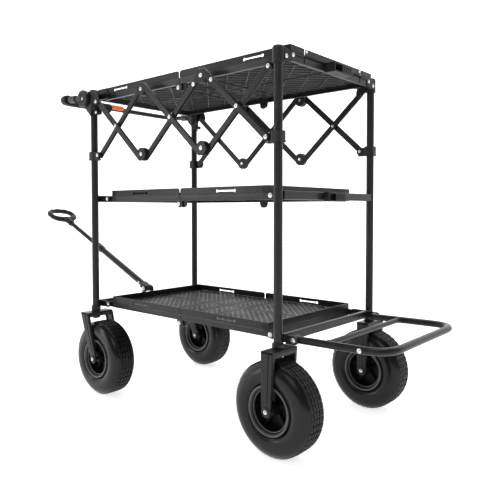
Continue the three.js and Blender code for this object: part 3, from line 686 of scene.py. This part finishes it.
def bump_row(form, a, b, width, height, z, up):
    """A low stamped ridge from a to b, with sloping flanks and ends."""
    a, b = Vector(a), Vector(b)
    along = (b - a).normalized()
    side = Vector((-along.y, along.x))
    base = [a - side * width, b - side * width, b + side * width, a + side * width]
    shrink = 0.45 * width
    crest = [p + along * shrink * sign - side * 0.5 * width * lean for p, sign, lean in
             zip(base, (1, -1, -1, 1), (-1, -1, 1, 1))]
    rows = [[Vector((*p, z - up * 0.5)) for p in base], [Vector((*p, z + up * height)) for p in crest]]
    form.skin(rows)


def clipped(c, slope, x0, x1, y0, y1):
    """Where the line y = slope * x + c crosses the rectangle, or None."""
    points = []
    for x in (x0, x1):
        y = slope * x + c
        if y0 <= y <= y1:
            points.append((x, y))
    for y in (y0, y1):
        x = (y - c) / slope
        if x0 < x < x1:
            points.append((x, y))
    if len(points) < 2:
        return None
    a, b = Vector(points[0]), Vector(points[1])
    return (a, b) if (b - a).length > 14 else None


def ridges(form, fields, slope, pitch, width, height, z, up):
    """Rows at 45 degrees that fill rectangular fields of a deck."""
    step = pitch * math.sqrt(2)
    for x0, x1, y0, y1 in fields:
        lows = [y - slope * x for x in (x0, x1) for y in (y0, y1)]
        k = math.ceil(min(lows) / step)
        while k * step < max(lows):
            line = clipped(k * step, slope, x0, x1, y0, y1)
            if line:
                bump_row(form, *line, width, height, z, up)
            k += 1


def hinge_leaf(form, ex, sy, z):
    """One leaf of the middle hinge: the front half's is outside, the rear half's inside."""
    axis_z = z - HINGE_DROP
    inner = SHELF_Y - 9 if ex < 0 else SHELF_Y - 15
    leaf = rounded([(ex * -8, axis_z - 7, 6), (ex * -8, axis_z + 6, 6), (ex * 3, z + 3, 3),
                    (ex * 25, z + 3, 3), (ex * 19, axis_z - 4, 8), (ex * 8, axis_z - 10, 7)], 4)
    form.prism(leaf, sy * inner, sy * (inner + 5), SIDEWAYS, 1.0)
    if ex < 0:
        form.rod((0, sy * (SHELF_Y - 17), axis_z), (0, sy * (SHELF_Y - 5), axis_z), PIN_R)
    else:
        form.rod(*[(LEAF_BOLT, sy * (SHELF_Y - back), axis_z + 2) for back in (20, 9.6)], 6)


def shelf(end, level):
    """Half a shelf. The long rims have a plain upper band, a crease and a hemmed lower band."""
    ex, z = ENDS[end], LEVELS[level]
    top = level == "top"
    node = f"shelf_{level}_{end}"
    reach = SHELF_END[level]
    s0, s1 = SLOTS[level]
    rims = Form()
    band_low, band_high = z + DECK_UP + 0.4, z + RIM_UP
    for sy in SIDES.values():
        y0, y1 = sy * (SHELF_Y - SHEET), sy * SHELF_Y
        corner = 2 if top else 1
        band = [(ex * 2.5, band_low, 1), (ex * reach, band_low, 1), (ex * reach, band_high, corner),
                (ex * 2.5, band_high, 9)]
        hole = dog_bone(*sorted((ex * s0, ex * s1)), z + RIM_UP - 13, 2.5, 5)
        rims.prism(rounded(band, 1), y0, y1, SIDEWAYS, 0.8, holes=[hole])
        hem = [(-0.4, DECK_UP), (-1.6, -2), (-2.2, -8), (-4, -RIM_DOWN), (-13, -RIM_DOWN),
               (-13, 1.8 - RIM_DOWN), (-6, 2 - RIM_DOWN), (-4.6, -7), (-SHEET - 0.6, DECK_UP)]
        section = [Vector((sy * (SHELF_Y + y), z + height)) for y, height in hem]
        rims.prism(section, ex * 1.2, ex * reach, ENDWAYS, 0.3)
        if not top:
            tongue = stadium((ex * (reach - 12), z), (ex * SHELF_PIVOT_X, z), 10)
            rims.prism(tongue, y0, y1, SIDEWAYS, 0.8)
            # vents beside the corner
            for k in range(4):
                x = ex * (reach - 8 - 4.4 * k)
                rims.block(x, x + ex * 2.0, sy * (SHELF_Y - 1), sy * (SHELF_Y + 0.9), z + 10, z + 25, 0.4)
        hinge_leaf(rims, ex, sy, z)
    if not top:
        inside = SHELF_Y - SHEET
        for low, high in ((band_low, band_high), (z - RIM_DOWN, z + DECK_UP)):
            band = rectangle(-inside, inside, low, high, 1)
            rims.prism(band, ex * (reach - SHEET), ex * reach, ENDWAYS, 0.8)
    piece(rims, f"rims_{node}", STEEL, node, [node])
    if end == "front":
        bolts(node, node, [((-LEAF_BOLT, sy * (SHELF_Y - 4), z - HINGE_DROP + 2), (0, sy, 0), 5.4, 3.0)
                           for sy in SIDES.values()])

    deck = Form()
    wide = SHELF_Y - SHEET
    far = reach - (2 if top else SHEET)
    deck.block(ex * 1.2, ex * far, -wide, wide, z + DECK_UP - SHEET, z + DECK_UP, 0.4)
    border, stripe, cross = 15, 9, 90
    columns = [(14, cross - stripe), (cross + stripe, far - border)]
    lanes = [(-wide + border, -stripe), (stripe, wide - border)]
    fields = [(*sorted((ex * c0, ex * c1)), y0, y1) for c0, c1 in columns for y0, y1 in lanes]
    # the deck plate takes the darker coat, painted shade of its underside
    piece(deck, f"deck_{node}", PAINTED_SHADE_COAT, node)

    stamped = Form()
    ridges(stamped, fields, -1, RIDGE_PITCH, 2.9, 2.0, z + DECK_UP, 1)
    under = z + DECK_UP - SHEET
    ridges(stamped, fields, 1, UNDER_PITCH, 3.0, 3.4, under, -1)
    ridges(stamped, fields, -1, WEB_PITCH, 1.6, 4.6, under, -1)
    # stiffening rods below the deck: one along it, one across
    rod_z = z - 1
    stamped.rod((ex * 16, 0, rod_z), (ex * (far - 4), 0, rod_z), 2.2, 16)
    stamped.rod((ex * cross, 2 - wide, rod_z - 2), (ex * cross, wide - 2, rod_z - 2), 2.2, 16)
    # the ridges, ribs and rods take the lighter coat, painted light against the deck's painted shade
    piece(stamped, f"ridges_{node}", RIDGE_COAT_PAINTED_LIGHT, node)


# ---------------------------------------------------------------- wheels
RIM_R = 69.7
TREAD_ROWS = 44                 # blocks round the tyre
TREAD_COLUMNS = 5               # and across it
GROOVE = 3.2
CROWN = 9                       # drop of the tread from its middle to the tyre's side
YOKE_BACK = 17                  # yoke reach from its post, towards -X
YOKE_AHEAD = 27                 # and towards +X
LEG_FOOT = 16                   # round foot of a fork leg, at the axle
SPOKES = 5


def tyre(end, side):
    """A smooth rounded carcass, and square tread blocks in rows across its crown."""
    node = f"tyre_{end}_{side}"
    centre = middle_of(node)
    place = aim(centre, (0, 1, 0))
    w = TYRE_W / 2
    carcass = WHEEL_R - 2.6
    half = [(RIM_R + 0.3, w - 14), (RIM_R + 2, w - 8), (RIM_R + 5, w - 5), (RIM_R + 10, w - 2.4),
            (RIM_R + 16, w - 0.8), (RIM_R + 23, w), (RIM_R + 30, w - 0.4), (RIM_R + 37, w - 1.5),
            (RIM_R + 44, w - 3.6), (RIM_R + 50, w - 6.8), (RIM_R + 55, w - 10.8), (carcass - 1.8, w - 15),
            (carcass, w - 20)]
    profile = half + [(r, -y) for r, y in reversed(half)]
    form = Form()
    form.lathe(profile, place, 96, ring=True)
    # moulding line round each bead
    radius = RIM_R + 8
    for sign in (-1, 1):
        y = sign * (w - 3.6)
        form.lathe([(radius - 1.4, y - sign * 3), (radius - 0.9, y + sign * 0.9),
                    (radius + 0.9, y + sign * 1.2), (radius + 1.4, y - sign * 2)], place, 96, ring=True)
    body = f"wheel_{end}_{side}"
    piece(form, f"carcass_{end}_{side}", SIDEWALL, body, [node])

    tread = Form()
    step = 2 * math.pi / TREAD_ROWS
    column = (TYRE_W - 32) / TREAD_COLUMNS
    for k in range(TREAD_ROWS):
        start = k * step
        stop = start + step - GROOVE / WHEEL_R
        for c in range(TREAD_COLUMNS):
            low = (c - TREAD_COLUMNS / 2) * column + GROOVE / 2
            high = low + column - GROOVE
            rows = []
            for inset, radius in ((-0.6, carcass - 7), (0.0, carcass + 1.4), (0.7, WHEEL_R)):
                a0, a1 = start + inset / WHEEL_R, stop - inset / WHEEL_R
                row = []
                for a, y in ((a0, low + inset), (a1, low + inset), (a1, high - inset), (a0, high - inset)):
                    reach = radius - CROWN * (y / w) ** 4
                    row.append(place @ Vector((reach * math.cos(a), reach * math.sin(a), y)))
                rows.append(row)
            tread.skin(rows)
    piece(tread, f"tread_{end}_{side}", TREAD, body)


def rim(end, side):
    """Moulded rim: rolled lips beside the tyre, a deep well and five spokes on each face."""
    node = f"rim_{end}_{side}"
    body = f"wheel_{end}_{side}"
    centre = middle_of(node)
    w = TYRE_W / 2
    form, lips = Form(), Form()
    for sign in (-1, 1):
        place = aim(centre, (0, sign, 0))
        lip = [(RIM_R - 9, w - 8), (RIM_R - 8, w - 3.4), (RIM_R - 5.6, w - 1), (RIM_R - 2, w - 0.4),
               (RIM_R, w - 1.6), (RIM_R, w - 8)]
        lips.lathe(lip, place, 80, ring=True)
        inner_lip = [(RIM_R - 14, w - 13), (RIM_R - 13, w - 9.6), (RIM_R - 10.6, w - 9),
                     (RIM_R - 10, w - 13)]
        lips.lathe(inner_lip, place, 80, ring=True)
        well = [(RIM_R, w - 8.2), (RIM_R, 2), (RIM_R - 12, 2), (RIM_R - 11, w - 20), (RIM_R - 9, w - 8.2)]
        form.lathe(well, place, 80, ring=True)
        form.lathe([(0, 2), (20, 2), (18, w - 24), (14, w - 12), (0, w - 12)], place, 44)
        for k in range(SPOKES):
            turned = place @ Matrix.Rotation(2 * math.pi * k / SPOKES + 0.35, 4, "Z")
            spoke = rounded([(14, -5), (RIM_R - 11, -6), (RIM_R - 11, 6), (14, 5)], 2)
            form.prism(spoke, 2, w - 30, turned, 2.0)
    form.lathe([(0, -3), (RIM_R - 8, -3), (RIM_R - 8, 3), (0, 3)], aim(centre, (0, 1, 0)), 60)
    # the well, spokes and hub take the darker coat, painted shade of the rim's deep well
    piece(form, f"spoked_{node}", PAINTED_SHADE_COAT, body, [node])
    # the lips take the lighter nylon, a painted highlight
    piece(lips, f"lips_{node}", NYLON_PAINTED_HIGHLIGHT, body)


def fork(end, side):
    """A flanged yoke with two tapering legs, the stem's nut below it and the axle."""
    ex = ENDS[end]
    node = f"fork_{end}_{side}"
    post_x, post_y = ex * POST_X, SIDES[side] * POST_Y
    axle = middle_of(f"tyre_{end}_{side}")
    x0, x1 = post_x - YOKE_BACK, post_x + YOKE_AHEAD
    body = f"caster_{side}" if end == "front" else "rear_frame"
    form = Form()
    form.block(x0, x1, post_y - FORK_OUT, post_y + FORK_OUT, YOKE_TOP - 8, YOKE_TOP, 2.0)
    for x in (x0, x1):
        inward = 3.5 if x == x0 else -3.5
        wide = FORK_OUT - 3
        form.block(x, x + inward, post_y - wide, post_y + wide, YOKE_TOP - 17, YOKE_TOP - 3, 1.2)
    top_z = YOKE_TOP - 0.5

    def across(share, z):
        """A point of the leg: share 0 on its front edge and 1 on its rear edge."""
        t = (top_z - z) / (top_z - axle.z - 4)
        front = x0 + (axle.x - LEG_FOOT - x0) * t
        rear = x1 + (axle.x + LEG_FOOT - x1) * t
        return (front + (rear - front) * share, z)

    for out in (-1, 1):
        leg = [across(0, top_z), across(1, top_z), (axle.x + LEG_FOOT, axle.z + 4)]
        leg += arc(axle.x, axle.z, LEG_FOOT, 0, -180, 14) + [(axle.x - LEG_FOOT, axle.z + 4)]
        inner = post_y + out * (FORK_OUT - 5)
        face = post_y + out * FORK_OUT
        form.prism(leg, inner, face, SIDEWAYS, 1.4)
        for a, b, foot in ((0.03, 0.63, axle.z + 20), (0.72, 0.97, axle.z + 30)):
            upper = top_z - 4
            panel = rounded([across(a, upper), across(b, upper), across(b, foot), across(a, foot)], 3)
            form.prism(panel, face - out, face + out * 1.6, SIDEWAYS, 1.0)
        # folded flange along each edge of the leg, on the wheel's side
        for a, b in ((0.0, 0.09), (0.91, 1.0)):
            strip = [across(a, top_z), across(b, top_z), across(b, axle.z + 34), across(a, axle.z + 34)]
            form.prism([Vector(p) for p in strip], inner, inner - out * 4, SIDEWAYS, 0.8)
        form.lathe([(0, -1), (13.5, -1), (13.5, 1.6), (12.3, 2.6), (0, 2.6)],
                   aim((axle.x, face, axle.z), (0, out, 0)), 36)
    width = FORK_OUT - 1
    form.rod((axle.x, post_y - width, axle.z), (axle.x, post_y + width, axle.z), 6)
    # nut of the stem below the yoke
    form.lathe([(0, YOKE_TOP - 27), (12, YOKE_TOP - 27), (14, YOKE_TOP - 25), (14, YOKE_TOP - 18),
                (21, YOKE_TOP - 17), (21, YOKE_TOP - 7), (0, YOKE_TOP - 7)],
               Matrix.Translation((post_x, post_y, 0)), 6)
    if end == "front":
        # thrust bearing on the yoke
        form.lathe([(0, YOKE_TOP - 2), (17, YOKE_TOP - 2), (17, YOKE_TOP + 3), (15.5, YOKE_TOP + 5.6),
                    (0, YOKE_TOP + 5.6)], Matrix.Translation((post_x, post_y, 0)), 36)
    piece(form, f"pressed_{node}", STEEL, body, [node])
    bolts(node, body, [((axle.x, post_y + out * (FORK_OUT + 2.4), axle.z), (0, out, 0), 4.6, 3.4)
                       for out in (-1, 1)])


# ---------------------------------------------------------------- pull handle
# Reach of each part along the handle, from its pivot.
LOWER_TUBE = (26, 375)
TUBE_COLLAR = (349, 392)
TUBE_RING = (341, 350)
UPPER_TUBE = (280, 638)
NECK = 622
LOOP_MIDDLE = 717
LOOP_LONG, LOOP_WIDE = 47, 57   # half sizes of the loop, to the middle of its bar
PULL_CHEEK = 22                 # outer faces of the bracket's cheeks, from the middle in Y


def pull(s, across=0.0, lift=0.0):
    """A point on the pull handle: s along it from its pivot, across it in Y, and lift square to both."""
    c, n = math.cos(PULL_TILT), math.sin(PULL_TILT)
    return Vector((PULL_PIVOT.x - s * c + lift * n, across, PULL_PIVOT.z + s * n + lift * c))


def pull_handle():
    """The telescoping handle, its loop grip and the bracket it pitches in."""
    x, z = PULL_PIVOT.x, PULL_PIVOT.z
    ahead = pull(1) - pull(0)
    square = pull(0, 0, 1) - pull(0)
    lower = Form()
    lower.sleeve(*map(pull, LOWER_TUBE), 12.5, 9.9, 0.8, 36)
    lower.sleeve(*map(pull, TUBE_COLLAR), 15.5, 9.9, 2.5, 36)
    lower.sleeve(*map(pull, TUBE_RING), 13.8, 12.0, 1.0, 36)
    # flattened foot that turns in the bracket
    foot = rounded([(-12, -11, 10), (34, -12, 3), (34, 12, 3), (-12, 11, 10)], 6)
    tilt = Matrix.Translation((x, 0, z)) @ Matrix.Rotation(math.pi + PULL_TILT, 4, "Y") @ SIDEWAYS
    lower.prism(foot, -13.5, 13.5, tilt, 2.0)
    lower.rod((x, -16, z), (x, 16, z), 12.5, 32, 1.5)
    piece(lower, "tube_pull_lower", STEEL, "pull_handle", ["pull_lower_tube"])
    bolts("pull_handle", "pull_handle", [(pull(48, sy * 12.2), (0, sy, 0), 4.4, 3.0) for sy in (-1, 1)])

    upper = Form()
    upper.rod(*map(pull, UPPER_TUBE), 9.5, 32, 0.8)
    for k in range(5):
        upper.rivet(pull(430 + 38 * k, 0, 9.3), square, 2.4, 0.8)
    piece(upper, "tube_pull_upper", STEEL, "pull_handle_inner", ["pull_upper_tube"])

    grip = Form()
    steps = 72
    rounding = 2 / 2.4
    loop, radii = [], []
    for k in range(steps):
        a = 2 * math.pi * k / steps
        c, n = math.cos(a), math.sin(a)
        s = LOOP_MIDDLE + LOOP_LONG * math.copysign(abs(c) ** rounding, c)
        loop.append(pull(s, LOOP_WIDE * math.copysign(abs(n) ** rounding, n)))
        # finger waves on the far bar of the loop, and a thicker root at the neck
        far = max(0.0, c) ** 0.5
        root = max(0.0, -c) ** 2
        radii.append(10.6 + far * (0.3 + 0.8 * math.cos(12.5 * n)) + 2.2 * root)
    grip.tube(loop, radii, 24, closed=True, up=square)
    neck = [(9.8, 0), (13.4, 0), (14.2, 2), (14.2, 12), (12.8, 14), (13.6, 30), (14.6, 50), (9.8, 52)]
    grip.lathe(neck, aim(pull(NECK), ahead), 40, ring=True)
    along = Matrix(((-math.cos(PULL_TILT), 0, math.sin(PULL_TILT), x), (0, 1, 0, 0),
                    (math.sin(PULL_TILT), 0, math.cos(PULL_TILT), z), (0, 0, 0, 1)))
    web = rounded([(NECK + 28, -14), (NECK + 58, -34, 12), (NECK + 58, 34, 12), (NECK + 28, 14)], 5)
    grip.prism(web, -9, 9, along, 4.0)
    piece(grip, "moulded_pull_grip", PLASTIC, "pull_handle_inner", ["pull_grip"])

    # saddle: a strap bent over the cross bar, with two cheeks
    bracket = Form()
    seat = LEVELS["bottom"] + 12.3
    face = -(POST_X + POST_R) - 0.3
    bracket.block(0.5 - POST_X, face - 1.2, -26, 26, seat, seat + 3, 1.0)
    bracket.block(face, face - 3.2, -26, 26, seat - 20, seat + 1, 1.0)
    for sy in (-1, 1):
        cheek = rounded([(x + 12, seat + 1, 1), (x + 12, z - 2, 4), (x + 6, z + 8, 7), (x - 6, z + 8, 7),
                         (x - 12, z + 1, 6), (x - 8, seat + 1, 1)], 4)
        bracket.prism(cheek, sy * (PULL_CHEEK - 5), sy * PULL_CHEEK, SIDEWAYS, 1.2)
    bracket.rod((x, -20, z), (x, 20, z), 5)
    piece(bracket, "yoke_pull_bracket", STEEL, "front_frame", ["pull_bracket"])


# ---------------------------------------------------------------- push handle
PUSH_R = 9                      # push bar
PUSH_BEND = 46                  # its bends, to the middle of the tube
PUSH_Y = corners("push_bar")[1].y - PUSH_R


def bent_path(points, bend, steps=10):
    """Straight runs joined by round corners."""
    corners_at = [Vector(p) for p in points]
    path = [corners_at[0]]
    for before, here, after in zip(corners_at, corners_at[1:], corners_at[2:]):
        start = here + (before - here).normalized() * bend
        stop = here + (after - here).normalized() * bend
        for k in range(steps + 1):
            t = k / steps
            path.append(start * (1 - t) ** 2 + here * 2 * t * (1 - t) + stop * t ** 2)
    path.append(corners_at[-1])
    return path


def push_handle():
    """The bent bar on two discs, with its foam and its release lever. Returns the foam."""
    x, z = PUSH_PIVOT.x, PUSH_PIVOT.z
    tip, high = PUSH_TIP.x, PUSH_TIP.z
    form = Form()
    route = [(x, -PUSH_Y, z), (tip, -PUSH_Y, high), (tip, PUSH_Y, high), (x, PUSH_Y, z)]
    form.tube(bent_path(route, PUSH_BEND), PUSH_R, 24)
    for sy in SIDES.values():
        disc = [(0, -9.5), (29, -9.5), (31, -7.5), (31, 2), (28.5, 5), (18, 5), (16.5, 3.6), (0, 3.6)]
        form.lathe(disc, aim((x, sy * PUSH_Y, z), (0, sy, 0)), 48)
    form.sleeve((tip, 8, high), (tip, 14, high), 10.6, 8.8, 1.0, 28)
    piece(form, "bent_push_bar", STEEL, "push_handle", ["push_bar"])

    # ribbed sockets between the discs and the bar
    sockets = Form()
    for sy in SIDES.values():
        root = Vector((x, sy * PUSH_Y, z))
        along = (Vector((tip, sy * PUSH_Y, high)) - root).normalized()
        ribs = [(9.3, 44), (13.4, 44)]
        for k in range(4):
            s = 45 + 9 * k
            ribs += [(13.4, s), (13.4, s + 5), (11.4, s + 6.2), (11.4, s + 8)]
        ribs += [(11.4, 82), (9.3, 82)]
        sockets.lathe(ribs, aim(root, along), 36, ring=True)
    # the sockets take the lighter nylon, a painted highlight on their ribs
    piece(sockets, "ribbed_push_sockets", NYLON_PAINTED_HIGHLIGHT, "push_handle")

    # foam from the near bend to short of the middle
    sleeve = Form()
    foam_r = corners("push_grip")[1].z - high
    stop = corners("push_grip")[1].y
    start = Vector((tip, -PUSH_Y, high)) + Vector((1, 0, (z - high) / (x - tip))) * (PUSH_BEND + 4)
    sleeve.tube(bent_path([start, (tip, -PUSH_Y, high), (tip, stop, high)], PUSH_BEND), foam_r, 32)
    grip = piece(sleeve, "foam_push_grip", FOAM, "push_handle", ["push_grip"])

    # lever with rounded ends that lies on the bar
    tab = Form()
    y0, y1 = corners("release_tab")[0].y, corners("release_tab")[1].y
    lever = rounded([(y0, high - 4, 7), (y1, high - 4, 7), (y1, high + 15, 9), (y0, high + 15, 9)], 7, 8)
    tab.prism(lever, tip - 11, tip + 14, ENDWAYS, 4.5)
    for k in range(5):
        y = y0 + 11 + 9 * k
        tab.block(tip + 8, tip + 14.8, y, y + 4, high + 2, high + 11, 1.0)
    piece(tab, "moulded_release_tab", ORANGE, "release_tab", ["release_tab"])
    bolts("push_handle", "push_handle", [((x, sy * (PUSH_Y + 3.6), z), (0, sy, 0), 5.4, 3.0)
                                         for sy in SIDES.values()])
    return grip


# ---------------------------------------------------------------- cargo extension
EXT_BEND = 70
BRACE_X = 566                   # thin bar across the loop
EXT_BOLT_X = 672


def extension():
    """The hinged loop of tube behind the bottom shelf."""
    x, z = EXT_PIVOT.x, EXT_PIVOT.z
    far_x, far_z = EXT_FAR.x, EXT_FAR.z

    def height(at):
        return z + (far_z - z) * (at - x) / (far_x - x)

    form = Form()
    route = [(x, -EXT_Y, z), (far_x, -EXT_Y, far_z), (far_x, EXT_Y, far_z), (x, EXT_Y, z)]
    form.tube(bent_path(route, EXT_BEND, 14), 12, 28, flat=0.85)
    form.rod((BRACE_X, -EXT_Y, height(BRACE_X)), (BRACE_X, EXT_Y, height(BRACE_X)), 8, 24)
    for sy in SIDES.values():
        form.rod((x, sy * (EXT_Y - 12), z), (x, sy * (EXT_Y + 12), z), 12, 32, 1.5)
        brace = [(BRACE_X, sy * (EXT_Y - back), height(BRACE_X)) for back in (18, 10)]
        form.sleeve(*brace, 9.5, 7.8, 0.8)
    piece(form, "bent_extension_frame", STEEL, "extension", ["extension_frame"])
    bolt_z = height(EXT_BOLT_X)
    bolts("extension", "extension", [((EXT_BOLT_X, sy * (EXT_Y + 11.4), bolt_z), (0, sy, 0), 5.0, 3.0)
                                     for sy in SIDES.values()])


# ---------------------------------------------------------------- bolts on the two end frames
def frame_bolts():
    pin_z = LATTICE_Z + PIN_UP
    face = POST_X + POST_R + 4.8
    heads = {"front": [], "rear": []}
    for sy in SIDES.values():
        out = (0, sy, 0)
        for end, ex in ENDS.items():
            heads[end] += [((ex * SHELF_PIVOT_X, sy * (SHELF_Y + 11), LEVELS[level]), out, 5.6, 3.2)
                           for level in ("bottom", "mid")]
        heads["front"] += [
            ((-PIN_X, sy * FRONT_PLATE[1], pin_z), out),
            ((26 - POST_X, sy * 262, PUSH_PIVOT.z - 54), out, 4.4, 3.0),
            ((PULL_PIVOT.x, sy * PULL_CHEEK, PULL_PIVOT.z), out, 6.0, 4.0),
        ]
        heads["rear"] += [
            ((face, sy * 238, SLEEVE_TOP - 24), (1, 0, 0), 4.8),
            ((face, sy * 208, SLEEVE_TOP - 15), (1, 0, 0), 4.8),
            ((POST_X + 18, sy * 147, LEVELS["top"] + 25), (1, 0, 0), 4.6, 3.0),
            ((PIN_X, sy * (LAYER_B + BAR_T / 2), pin_z), out),
            ((EXT_PIVOT.x, sy * (EXT_Y + 19), EXT_PIVOT.z), out, 5.6, 3.4),
        ]
    for end in ENDS:
        bolts(f"{end}_frame", f"{end}_frame", heads[end])


# ---------------------------------------------------------------- assembly
for end in ENDS:
    for side in SIDES:
        post(end, side)
        collar(end, side)
        fork(end, side)
        tyre(end, side)
        rim(end, side)
    for level in LEVELS:
        cross_bar(end, level)
        shelf(end, level)
for side in SIDES:
    lattice(side)
    bracket_front(side)
    bracket_rear(side)
for level in ("mid", "top"):
    latch(level)
pull_handle()
foam_grip = push_handle()
extension()
frame_bolts()


# ---------------------------------------------------------------- floor, light, camera
STUDIO_HALF = 60.0              # metres, as everything from here on
BACKDROP_FAR = 9.0
CAMERA_AT = (1.368, -1.4336, 0.6763)
HEADING = math.radians(130.374)
PITCH = math.radians(-1.960)


def board(name, corners_at, colour, glow):
    """A flat pale sheet of the studio, which may glow a little."""
    mesh = bpy.data.meshes.new(name)
    mesh.from_pydata(corners_at, [], [(0, 1, 2, 3)])
    material = bpy.data.materials.new(f"studio_{name}")
    material.use_nodes = True
    shader = material.node_tree.nodes["Principled BSDF"]
    shader.inputs["Base Color"].default_value = (colour, colour, colour, 1)
    shader.inputs["Roughness"].default_value = 0.95
    shader.inputs["Specular IOR Level"].default_value = 0.0
    shader.inputs["Emission Color"].default_value = (1, 1, 1, 1)
    shader.inputs["Emission Strength"].default_value = glow
    mesh.materials.append(material)
    obj = bpy.data.objects.new(name, mesh)
    bpy.context.scene.collection.objects.link(obj)


def soft_light(name, at, towards, size, power):
    data = bpy.data.lights.new(name, "AREA")
    data.shape = "RECTANGLE"
    data.size, data.size_y = size
    data.energy = power
    obj = bpy.data.objects.new(name, data)
    obj.location = at
    obj.rotation_euler = (Vector(towards) - Vector(at)).to_track_quat("-Z", "Y").to_euler()
    bpy.context.scene.collection.objects.link(obj)


def studio():
    scene = bpy.context.scene
    world = bpy.data.worlds.new("studio")
    scene.world = world
    world.use_nodes = True
    background = world.node_tree.nodes["Background"]
    background.inputs["Color"].default_value = (1, 1, 1, 1)
    background.inputs["Strength"].default_value = 0.25
    scene.view_settings.view_transform = "Standard"
    soft_light("key", (1.0, -3.4, 2.4), (0.1, 0, 0.5), (1.6, 1.6), 16)
    soft_light("side_strip", (-2.3, -2.9, 1.1), (0.1, -0.2, 0.4), (0.5, 2.2), 22)
    soft_light("end_fill", (4.0, 0.8, 1.6), (0.3, 0, 0.5), (1.2, 2.0), 8)
    soft_light("top", (0.0, 0.3, 4.6), (0.1, 0, 0.5), (4.0, 3.0), 85)
    half = STUDIO_HALF
    board("floor", [(-half, -half, 0), (half, -half, 0), (half, half, 0), (-half, half, 0)], 0.9, 0.72)
    # backdrop square to the view, far behind the wagon
    foot = Vector((math.cos(HEADING), math.sin(HEADING), 0)) * BACKDROP_FAR
    across = Vector((math.sin(HEADING), -math.cos(HEADING), 0)) * half
    up = Vector((0, 0, half / 2))
    board("backdrop", [foot - across, foot + across, foot + across + up, foot - across + up], 0.9, 0.9)


def camera():
    """The view of the reference: from the near rear corner, just above the middle of its height."""
    data = bpy.data.cameras.new("camera")
    data.sensor_width = 36.0
    data.lens = 39.85
    data.shift_x = -0.016
    data.shift_y = -0.0438
    obj = bpy.data.objects.new("camera", data)
    obj.location = MIDDLE + Vector(CAMERA_AT)
    level = Vector((math.cos(HEADING), math.sin(HEADING), 0))
    view = level * math.cos(PITCH) + Vector((0, 0, math.sin(PITCH)))
    obj.rotation_euler = view.to_track_quat("-Z", "Y").to_euler()
    bpy.context.scene.collection.objects.link(obj)
    bpy.context.scene.camera = obj


studio()
camera()
